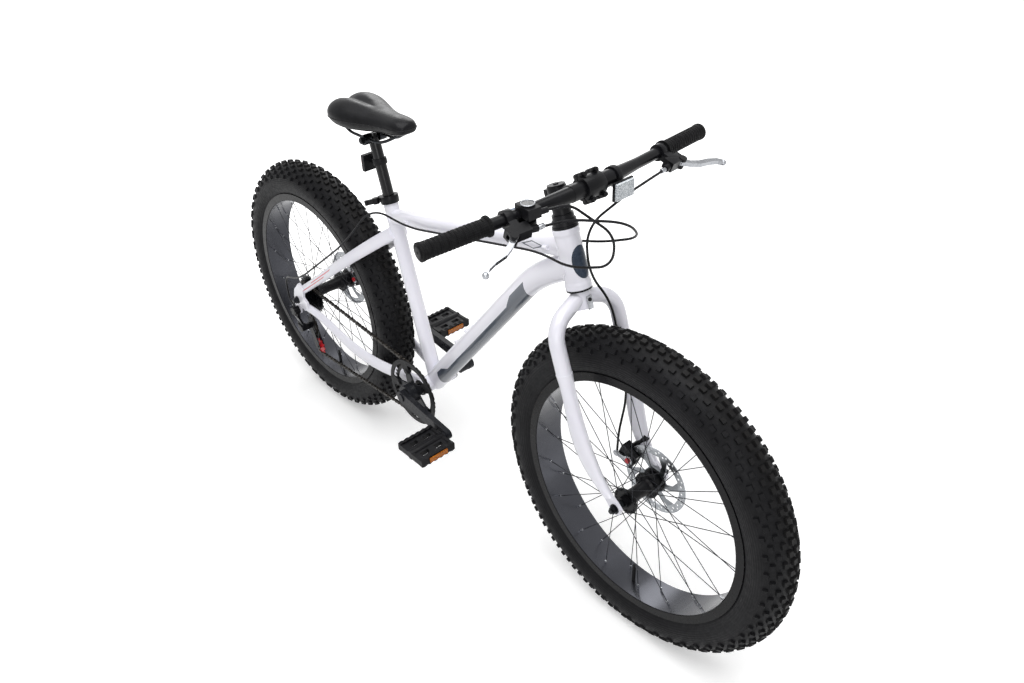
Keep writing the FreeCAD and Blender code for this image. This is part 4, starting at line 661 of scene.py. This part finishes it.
for word, axle in (("front", front_axle), ("rear", rear_axle)):
    repaint(word + "_spokes", nipple_brass,
            lambda point: math.hypot(point.x - axle.x, point.z - axle.z) > nipple_radius)
    low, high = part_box(word + "_rotor")
    repaint(word + "_rotor", dark_steel, lambda point: point.y > high.y - bolt_head)
    low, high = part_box(word + "_rim")
    repaint(word + "_rim", flange_black, lambda point: abs(point.y) > high.y - flange_depth)
for word in ("right", "left"):
    low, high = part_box(word + "_pedal")
    repaint(word + "_pedal", amber_lens,
            lambda point: not low.x + pedal_lens < point.x < high.x - pedal_lens)
low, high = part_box("rear_reflector")
repaint("rear_reflector", red_lens, lambda point: point.x < low.x + rear_lens)
low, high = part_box("front_reflector")
repaint("front_reflector", clear_lens, lambda point: point.x > high.x - front_lens)
low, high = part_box("shifter_body")
repaint("shifter_body", window_plastic, lambda point: point.z > high.z - window_depth)
low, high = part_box("thumb_lever")
repaint("thumb_lever", thumb_plastic, lambda point: point.x < low.x + thumb_pad)

# %% [markdown]
# ## Softened edges
# No cast or moulded part has a perfectly sharp edge, and the thin highlight along it shows the eye its form.
# Rounding could be done in the mesh, but a modifier leaves the CAD mesh as it is.

# %% Rounded edges on the boxy parts
cast_round = 0.0014
thin_round = 0.0009
merge_within = 0.00002
cast_parts = ("lever_brackets", "shifter_body", "thumb_lever", "stem", "seat_clamp", "front_caliper",
              "rear_caliper")
thin_parts = ("right_pedal", "left_pedal", "front_reflector", "rear_reflector", "derailleur_body",
              "derailleur_knuckle")


def soften(name, width):
    """Rounds the sharp edges of a CAD node by modifiers."""
    join = nodes[name].modifiers.new("join", "WELD")
    join.merge_threshold = merge_within
    edge = nodes[name].modifiers.new("edge", "BEVEL")
    edge.width = width
    edge.segments = 2
    edge.limit_method = "ANGLE"
    edge.angle_limit = math.radians(40)
    edge.harden_normals = True


for name in cast_parts:
    soften(name, cast_round)
for name in thin_parts:
    soften(name, thin_round)
print("softened", sum(1 for node in nodes.values() if node.modifiers))

# %% [markdown]
# ## Saddle cover
# A saddle is foam on a hard shell with a cover pulled tight, so it is fullest in the middle of each panel.
# It could be sculpted, but blowing cloth up a little over the CAD form gives the same tight fullness.
# The underside is pinned, as the real cover is stapled there, and no point may move more than 5 mm.

# %% Cover form
voxel = 0.005
shell_back = Vector((-0.350, 0.0, 0.950))
shell_slope = 0.049


def put_in_scene(name, data):
    """New object in the scene, at the origin."""
    thing = bpy.data.objects.new(name, data)
    bpy.context.scene.collection.objects.link(thing)
    return thing


def joined_copy(name, node):
    """Copy of a CAD node with its loose triangles merged."""
    mesh = nodes[node].data.copy()
    work = bmesh.new()
    work.from_mesh(mesh)
    bmesh.ops.remove_doubles(work, verts=work.verts, dist=merge_within)
    bmesh.ops.recalc_face_normals(work, faces=work.faces)
    work.to_mesh(mesh)
    work.free()
    mesh.materials.clear()
    return put_in_scene(name, mesh)


def bake(piece):
    """Replaces a piece's mesh with the result of its modifiers."""
    graph = bpy.context.evaluated_depsgraph_get()
    mesh = bpy.data.meshes.new_from_object(piece.evaluated_get(graph))
    piece.modifiers.clear()
    piece.data = mesh


def below_seam(point):
    """True under the sloping line where the cover meets the hard shell."""
    return point.z < shell_back.z + (point.x - shell_back.x) * shell_slope


cover = joined_copy("saddle_cover", "saddle")
even = cover.modifiers.new("even", "REMESH")
even.mode = "VOXEL"
even.voxel_size = voxel
bake(cover)
pinned = cover.vertex_groups.new(name="pinned")
pinned.add([vertex.index for vertex in cover.data.vertices if below_seam(vertex.co)], 1.0, "ADD")
print("cover points", len(cover.data.vertices))

# %% Blow the cover up a little
most_travel = 0.005


def inflate(piece, frames):
    """Runs a short cloth simulation with air pressure and no gravity."""
    cloth = piece.modifiers.new("cloth", "CLOTH")
    cloth.settings.quality = 6
    cloth.settings.mass = 0.2
    cloth.settings.tension_stiffness = 12.0
    cloth.settings.compression_stiffness = 12.0
    cloth.settings.bending_stiffness = 4.0
    cloth.settings.use_pressure = True
    cloth.settings.uniform_pressure_force = 4.0
    cloth.settings.vertex_group_mass = "pinned"
    cloth.settings.effector_weights.gravity = 0.0
    cloth.point_cache.frame_start = 1
    cloth.point_cache.frame_end = frames
    for number in range(1, frames + 1):
        bpy.context.scene.frame_set(number)
    bake(piece)
    bpy.context.scene.frame_set(1)


def limit_travel(piece, before, reach):
    """Keeps each point within reach of where it started, and returns the longest move."""
    most = 0.0
    for vertex, start in zip(piece.data.vertices, before):
        move = vertex.co - start
        if move.length > reach:
            vertex.co = start + move.normalized() * reach
        most = max(most, (vertex.co - start).length)
    return most


start_points = [vertex.co.copy() for vertex in cover.data.vertices]
inflate(cover, frames=20)
print("cover moved", round(limit_travel(cover, start_points, most_travel) * 1000, 2), "mm")

# %% Finish the cover


def smooth_shading(mesh):
    """Shades every face of a mesh smoothly."""
    for face in mesh.polygons:
        face.use_smooth = True


def relax(piece, times):
    """Evens out the small steps that the voxels left."""
    work = bmesh.new()
    work.from_mesh(piece.data)
    for count in range(times):
        bmesh.ops.smooth_vert(work, verts=work.verts, factor=0.5, use_axis_x=True, use_axis_y=True,
                              use_axis_z=True)
    work.to_mesh(piece.data)
    work.free()


relax(cover, times=4)
smooth_shading(cover.data)
finer = cover.modifiers.new("finer", "SUBSURF")
finer.levels = 1
finer.render_levels = 1
cover.data.materials.clear()
cover.data.materials.append(leather)
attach(cover, "seat")
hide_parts("saddle")
print("cover faces", len(cover.data.polygons))

# %% [markdown]
# ## Seam round the saddle
# The cover is closed over the shell with a welt that runs all the way round. Its line could be drawn by hand,
# but cutting the finished cover with a slightly tilted plane finds it, and a thin round bead follows it.

# %% Saddle welt
welt_radius = 0.0013
welt_rise = 0.0045


def ring_on(piece, point, normal):
    """Edge loop where a plane cuts a piece."""
    graph = bpy.context.evaluated_depsgraph_get()
    work = bmesh.new()
    work.from_mesh(piece.evaluated_get(graph).to_mesh())
    everything = work.verts[:] + work.edges[:] + work.faces[:]
    cut = bmesh.ops.bisect_plane(work, geom=everything, plane_co=point, plane_no=normal)["geom_cut"]
    kept = {part for part in cut if isinstance(part, bmesh.types.BMEdge)}
    bmesh.ops.delete(work, geom=[edge for edge in work.edges if edge not in kept], context="EDGES_FACES")
    mesh = bpy.data.meshes.new(piece.name + "_line")
    work.to_mesh(mesh)
    work.free()
    return mesh


def bead(name, mesh, radius, material):
    """Round bead along the edges of a mesh."""
    piece = put_in_scene(name, mesh)
    bpy.context.view_layer.objects.active = piece
    bpy.ops.object.select_all(action="DESELECT")
    piece.select_set(True)
    bpy.ops.object.convert(target="CURVE")
    piece.data.bevel_depth = radius
    piece.data.bevel_resolution = 2
    bpy.ops.object.convert(target="MESH")
    smooth_shading(piece.data)
    piece.data.materials.append(material)
    return piece


seam_point = shell_back + Vector((0.0, 0.0, welt_rise))
line = ring_on(cover, seam_point, (-shell_slope, 0.0, 1.0))
welt = bead("saddle_welt", line, welt_radius, leather)
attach(welt, "seat")
print("welt faces", len(welt.data.polygons))

# %% [markdown]
# ## Copies of the bar cables
# The rear brake and shift cables start at the bars and end on the frame, so they bend when the bars turn.
# A rigid cable would tear away from its lever. Each cable is copied as it stands in the CAD part,
# and the CAD node is hidden.


def bending_copy(name, node):
    """Copy of a cable as the CAD part has it, which stands for the CAD node; the node is hidden."""
    piece = put_in_scene(name, nodes[node].data.copy())
    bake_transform(piece)
    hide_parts(node)
    print(name, "faces", len(piece.data.polygons))


bending_copy("rear_brake_cable_skin", "rear_brake_cable")
bending_copy("shift_cable_skin", "shift_cable")

# %% [markdown]
# ## Weld beads
# Aluminium tubes are welded, and the row of overlapping puddles stays visible under the paint.
# A bead could be a plain ring, but tubes meet along a saddle-shaped line. Rays sent along one tube find
# where it meets the other, and a bead with a regular swell follows that line.

# %% Beads at the tube joints
weld_radius = 0.0024
weld_points = 168
puddle_swell = 0.22
points_per_puddle = 4
down_top = Vector((0.3915, 0.0, 0.8297))
down_radius = 0.0272
top_half_at_head = {"half_wide": 0.0222, "half_high": 0.0192}
top_half_at_seat = {"half_wide": 0.0183, "half_high": 0.0163}


def surface_of(*names):
    """Search tree over the faces of some CAD nodes."""
    points = []
    faces = []
    for name in names:
        mesh = nodes[name].data
        start = len(points)
        points += [vertex.co.copy() for vertex in mesh.vertices]
        faces += [[start + index for index in face.vertices] for face in mesh.polygons]
    return BVHTree.FromPolygons(points, faces)


def meeting_line(start, end, target, half_wide, half_high):
    """Points where the wall of a tube from start to end meets a target surface."""
    way = (end - start).normalized()
    spots = []
    for number in range(weld_points):
        turn = 2 * math.pi * number / weld_points
        side = Vector((0.0, half_wide * math.cos(turn), 0.0)) + square_to(way) * (half_high * math.sin(turn))
        hit = target.ray_cast(start + side, way)[0]
        if hit:
            spots.append(hit)
    return spots


def weld(name, spots):
    """Closed bead through some points, thicker at each puddle."""
    curve = bpy.data.curves.new(name, "CURVE")
    curve.dimensions = "3D"
    curve.bevel_depth = weld_radius
    curve.bevel_resolution = 2
    line = curve.splines.new("POLY")
    line.points.add(len(spots) - 1)
    line.use_cyclic_u = True
    for number, (point, spot) in enumerate(zip(line.points, spots)):
        point.co = (*spot, 1.0)
        point.radius = 1.0 + puddle_swell * math.sin(2 * math.pi * number / points_per_puddle)
    draft = put_in_scene(name + "_draft", curve)
    graph = bpy.context.evaluated_depsgraph_get()
    piece = put_in_scene(name, bpy.data.meshes.new_from_object(draft.evaluated_get(graph)))
    bpy.data.objects.remove(draft)
    smooth_shading(piece.data)
    piece.data.materials.clear()
    piece.data.materials.append(plain_white)
    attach(piece, "frame")
    print(name, "points", len(spots))


head_surface = surface_of("head_tube")
seat_surface = surface_of("seat_tube")
front_of_top = top_back.lerp(top_front, 0.6)
back_of_top = top_back.lerp(top_front, 0.4)
weld("weld_down_head", meeting_line(down_bend, down_top, head_surface, down_radius, down_radius))
weld("weld_top_head", meeting_line(front_of_top, top_front, head_surface, **top_half_at_head))
weld("weld_top_seat", meeting_line(back_of_top, top_back, seat_surface, **top_half_at_seat))

# %% [markdown]
# ## Small fittings
# These parts are only seen: barrel adjusters where the cables leave the levers, plugs in the grip ends,
# the ring round the shifter window, pad adjusters on the brakes, and a tab on the crown.
# They could be plain cylinders and boxes, but real ones have broken edges, so sharp edges are rounded.

# %% Makers of small round parts


def as_piece(name, work, material, body):
    """Turns a mesh in progress into a smooth piece that rides on a body."""
    mesh = bpy.data.meshes.new(name)
    work.to_mesh(mesh)
    work.free()
    smooth_shading(mesh)
    mesh.materials.append(material)
    piece = put_in_scene(name, mesh)
    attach(piece, body)
    print(name, "faces", len(mesh.polygons))


def stand(work, place, way):
    """Moves a mesh made round the Z axis to a place, with its axis along a direction."""
    turn = Vector((0.0, 0.0, 1.0)).rotation_difference(way).to_matrix().to_4x4()
    bmesh.ops.transform(work, matrix=Matrix.Translation(place) @ turn, verts=work.verts)


def turned(name, start, way, radius, length, material, body):
    """Short round part with softened rims, from a point along a direction."""
    work = bmesh.new()
    bmesh.ops.create_cone(work, cap_ends=True, segments=40, radius1=radius, radius2=radius, depth=length)
    rims = [edge for edge in work.edges if abs(edge.verts[0].co.z - edge.verts[1].co.z) < 0.000001]
    soft = min(radius, length) * 0.25
    bmesh.ops.bevel(work, geom=rims, offset=soft, segments=3, profile=0.5, affect="EDGES", material=-1)
    stand(work, start + way * (length / 2), way)
    as_piece(name, work, material, body)


def ring(name, place, way, radius, wire, material, body):
    """Round wire closed to a ring."""
    work = bmesh.new()
    bmesh.ops.create_circle(work, segments=14, radius=wire)
    bmesh.ops.rotate(work, verts=work.verts, matrix=Matrix.Rotation(math.pi / 2, 3, "X"))
    bmesh.ops.translate(work, verts=work.verts, vec=(radius, 0.0, 0.0))
    swept = work.verts[:] + work.edges[:]
    bmesh.ops.spin(work, geom=swept, axis=(0.0, 0.0, 1.0), angle=2 * math.pi, steps=56, use_merge=True)
    bmesh.ops.recalc_face_normals(work, faces=work.faces)
    stand(work, place, way)
    as_piece(name, work, material, body)


print("makers ready")

# %% Fittings on the bars
barrel_radius = 0.0048
barrel_length = 0.013
plug_radius = 0.0105
plug_length = 0.0020
plug_gap = 0.0005
left_bar_out = Vector((-0.125, 0.992, -0.036)).normalized()
left_grip_end = Vector((0.3923, 0.357, 0.9938))
lever_start = {"left": Vector((0.4533, 0.1801, 0.9861)), "right": Vector((0.4566, -0.1541, 0.9871))}
window_place = Vector((0.43198, -0.15358, 1.0243))
window_up = Vector((-0.005, -0.036, 0.999))
window_radius = 0.0118
window_wire = 0.0013

for word, side in (("left", 1), ("right", -1)):
    to_side = Vector((1.0, side, 1.0))
    out = left_bar_out * to_side
    turned(word + "_barrel_adjuster", lever_start[word], -out, barrel_radius, barrel_length, lever_silver,
           "steering")
    end = left_grip_end * to_side + out * plug_gap
    turned(word + "_grip_plug", end, out, plug_radius, plug_length, black_plastic, "steering")
ring("shifter_window_ring", window_place, window_up, window_radius, window_wire, lever_silver, "steering")

# %% Pad adjusters on the brakes
pad_radius = 0.0062
pad_length = 0.003
pad_place = {"front": Vector((0.5238, 0.0312, 0.3947)), "rear": Vector((-0.5247, 0.0502, 0.3968))}
inward = Vector((0.0, -1.0, 0.0))
for word, place in pad_place.items():
    turned(word + "_pad_adjuster", place, inward, pad_radius, pad_length, red_plastic, word + "_brake_arm")

# %% Crown tab
tab_size = (0.0022, 0.013, 0.028)
tab_round = 0.0006
tab_proud = 0.0012
tab_drop = 0.006
bolt_radius = 0.0038
bolt_length = 0.003
bolt_proud = 0.0022
crown_drop = 0.024
crown_ahead = 0.1


def tab(name, place, ahead, size, material, body):
    """Small flat plate with rounded edges, its thin side along a direction."""
    work = bmesh.new()
    bmesh.ops.create_cube(work, size=1.0)
    bmesh.ops.scale(work, vec=size, verts=work.verts)
    bmesh.ops.bevel(work, geom=work.edges[:], offset=tab_round, segments=2, profile=0.5, affect="EDGES",
                    material=-1)
    sideways = Vector((0.0, 1.0, 0.0))
    frame_of_tab = Matrix((ahead, sideways, ahead.cross(sideways))).transposed().to_4x4()
    bmesh.ops.transform(work, matrix=Matrix.Translation(place) @ frame_of_tab, verts=work.verts)
    as_piece(name, work, material, body)


crown_surface = surface_of("fork_steerer", "fork_blades")
ray_start = head_low - steer_up * crown_drop + steer_ahead * crown_ahead
crown_front = crown_surface.ray_cast(ray_start, -steer_ahead)[0]
tab_place = crown_front + steer_ahead * tab_proud - steer_up * tab_drop
tab("crown_tab", tab_place, steer_ahead, tab_size, lever_silver, "steering")
bolt_place = crown_front + steer_ahead * bolt_proud
turned("crown_tab_bolt", bolt_place, steer_ahead, bolt_radius, bolt_length, black_metal, "steering")

# %% [markdown]
# ## Head badge
# The badge is a thin plain oval plate on the front of the head tube. It could be painted on, but a plate
# has an edge that catches the light. Rays lay a flat disc on the tube, and it then gets its thickness.

# %% Head badge
badge_half_wide = 0.021
badge_half_high = 0.033
badge_height = 0.44
badge_thick = 0.0007
badge_gap = 0.0005
badge_bend = 0.025
badge_ahead = 0.2


def badge_on_tube(name, middle, target):
    """Thin oval plate laid on the front of the head tube."""
    work = bmesh.new()
    bmesh.ops.create_circle(work, cap_ends=True, cap_tris=True, segments=64, radius=1.0)
    spokes = [edge for edge in work.edges if any(vertex.co.length < 0.001 for vertex in edge.verts)]
    bmesh.ops.subdivide_edges(work, edges=spokes, cuts=6)
    for vertex in work.verts:
        turn = vertex.co.x * badge_half_wide / badge_bend
        outward = steer_ahead * math.cos(turn) + Vector((0.0, math.sin(turn), 0.0))
        level = middle + steer_up * (vertex.co.y * badge_half_high)
        hit = target.ray_cast(level + outward * badge_ahead, -outward)[0]
        vertex.co = hit + outward * badge_gap
    bmesh.ops.recalc_face_normals(work, faces=work.faces)
    bmesh.ops.solidify(work, geom=work.faces[:], thickness=badge_thick)
    as_piece(name, work, badge_slate, "frame")


badge_on_tube("head_badge", head_low.lerp(head_high, badge_height), head_surface)

# %% [markdown]
# ## Floor, lamps and camera
# The photo is a studio cut-out on white. A pale floor carries a soft shadow and one broad lamp above does
# most work, so the tops of the tubes are bright and their sides turn slightly grey.
# The floor and the surroundings could simply be bright, but that would wash out the underside of the frame,
# so they show white to the camera, in reflections and through clear pieces only.

# %% Floor
floor_half = 12.0
fade_start = 0.7
fade_end = 1.7
near_light = 0.36


def background_rays(tree):
    """1 for rays that show the background: to the camera, in a reflection or through a clear piece."""
    path = add(tree, "LightPath").outputs
    direct = add(tree, "Math", {0: path["Is Camera Ray"], 1: path["Is Glossy Ray"]}, operation="MAXIMUM")
    return add(tree, "Math", {0: direct, 1: path["Is Transmission Ray"]}, operation="MAXIMUM")


def studio_floor(name):
    """Matt pale floor with a painted glow for the camera, reflections and clear pieces, weak near the bicycle
    so that its shadow shows, and growing to white further out.
    """
    material, tree, shader = new_material(name, Roughness=0.9, Specular_IOR_Level=0.0)
    shader.inputs["Emission Color"].default_value = (1.0, 1.0, 1.0, 1.0)
    tones = {"Factor": cloud(tree, 0.4), 6: linear("#EDEDED"), 7: linear("#F2F2F2")}
    feed(tree, shader, Base_Color=add(tree, "Mix", tones, data_type="RGBA"))
    place = add(tree, "TexCoord").outputs["Object"]
    away = add(tree, "VectorMath", {0: place}, operation="LENGTH").outputs["Value"]
    # Painted light: the floor's glow grows from near_light at fade_start to full white at fade_end, measured
    # from the point under the bicycle.
    ends = {"Value": away, "From Min": fade_start, "From Max": fade_end, "To Min": near_light, "To Max": 1.0}
    fade = add(tree, "MapRange", ends)
    feed(tree, shader, Emission_Strength=both(tree, background_rays(tree), fade))
    return material


floor_mesh = bpy.data.meshes.new("floor")
work = bmesh.new()
bmesh.ops.create_grid(work, x_segments=1, y_segments=1, size=floor_half)
work.to_mesh(floor_mesh)
work.free()
floor_mesh.materials.append(studio_floor("pale_studio_floor"))
floor = put_in_scene("floor", floor_mesh)
floor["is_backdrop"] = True
print("floor", floor.name)

# %% Lamps and surroundings
bicycle_middle = Vector((0.0, 0.0, 0.5))
front_half = Vector((0.2, 0.0, 0.5))
world_light = 0.2


def soft_lamp(name, place, aim, size, power):
    """Square lamp turned towards a point."""
    data = bpy.data.lights.new(name, "AREA")
    data.size = size
    data.energy = power
    lamp = put_in_scene(name, data)
    lamp.location = place
    lamp.rotation_euler = (aim - place).to_track_quat("-Z", "Y").to_euler()


soft_lamp("overhead", Vector((0.3, -0.4, 3.2)), bicycle_middle, size=3.0, power=106.0)
soft_lamp("front_right", Vector((2.6, -2.2, 1.6)), front_half, size=1.6, power=26.0)
soft_lamp("rear_left", Vector((-2.4, 2.2, 2.2)), bicycle_middle, size=1.6, power=26.0)
world = bpy.data.worlds.new("studio")
bpy.context.scene.world = world
world.use_nodes = True
tree = world.node_tree
back = tree.nodes["Background"]
back.inputs["Color"].default_value = (1.0, 1.0, 1.0, 1.0)
level = add(tree, "MapRange", {"Value": background_rays(tree), "To Min": world_light, "To Max": 1.0})
feed(tree, back, Strength=level)
print("lamps", [lamp.name for lamp in bpy.data.lights])

# %% Camera
azimuth = math.radians(48.88)
elevation = math.radians(34.14)
roll = math.radians(-2.09)
camera_place = Vector((1.4710, -1.1070, 1.7006))
focal_pixels = 920.5
picture_pixels = 1024
sensor_width = 36.0

flat = math.cos(elevation)
back_way = Vector((math.sin(azimuth) * flat, -math.cos(azimuth) * flat, math.sin(elevation)))
level_right = Vector((0.0, 0.0, 1.0)).cross(back_way).normalized()
level_up = back_way.cross(level_right)
right = level_right * math.cos(roll) + level_up * math.sin(roll)
up = level_up * math.cos(roll) - level_right * math.sin(roll)
camera_data = bpy.data.cameras.new("camera")
camera_data.sensor_width = sensor_width
camera_data.lens = focal_pixels / picture_pixels * sensor_width
camera = put_in_scene("camera", camera_data)
camera.matrix_world = Matrix((right, up, back_way)).transposed().to_4x4()
camera.location = camera_place
bpy.context.scene.camera = camera
bpy.context.scene.view_settings.view_transform = "Standard"
print("lens", round(camera_data.lens, 2))

# %% [markdown]
# ## Sizes
# The looks have to stay the size of the CAD part, so the box round every shown piece but the floor is
# measured at the end.

# %% Sizes
low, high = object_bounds()
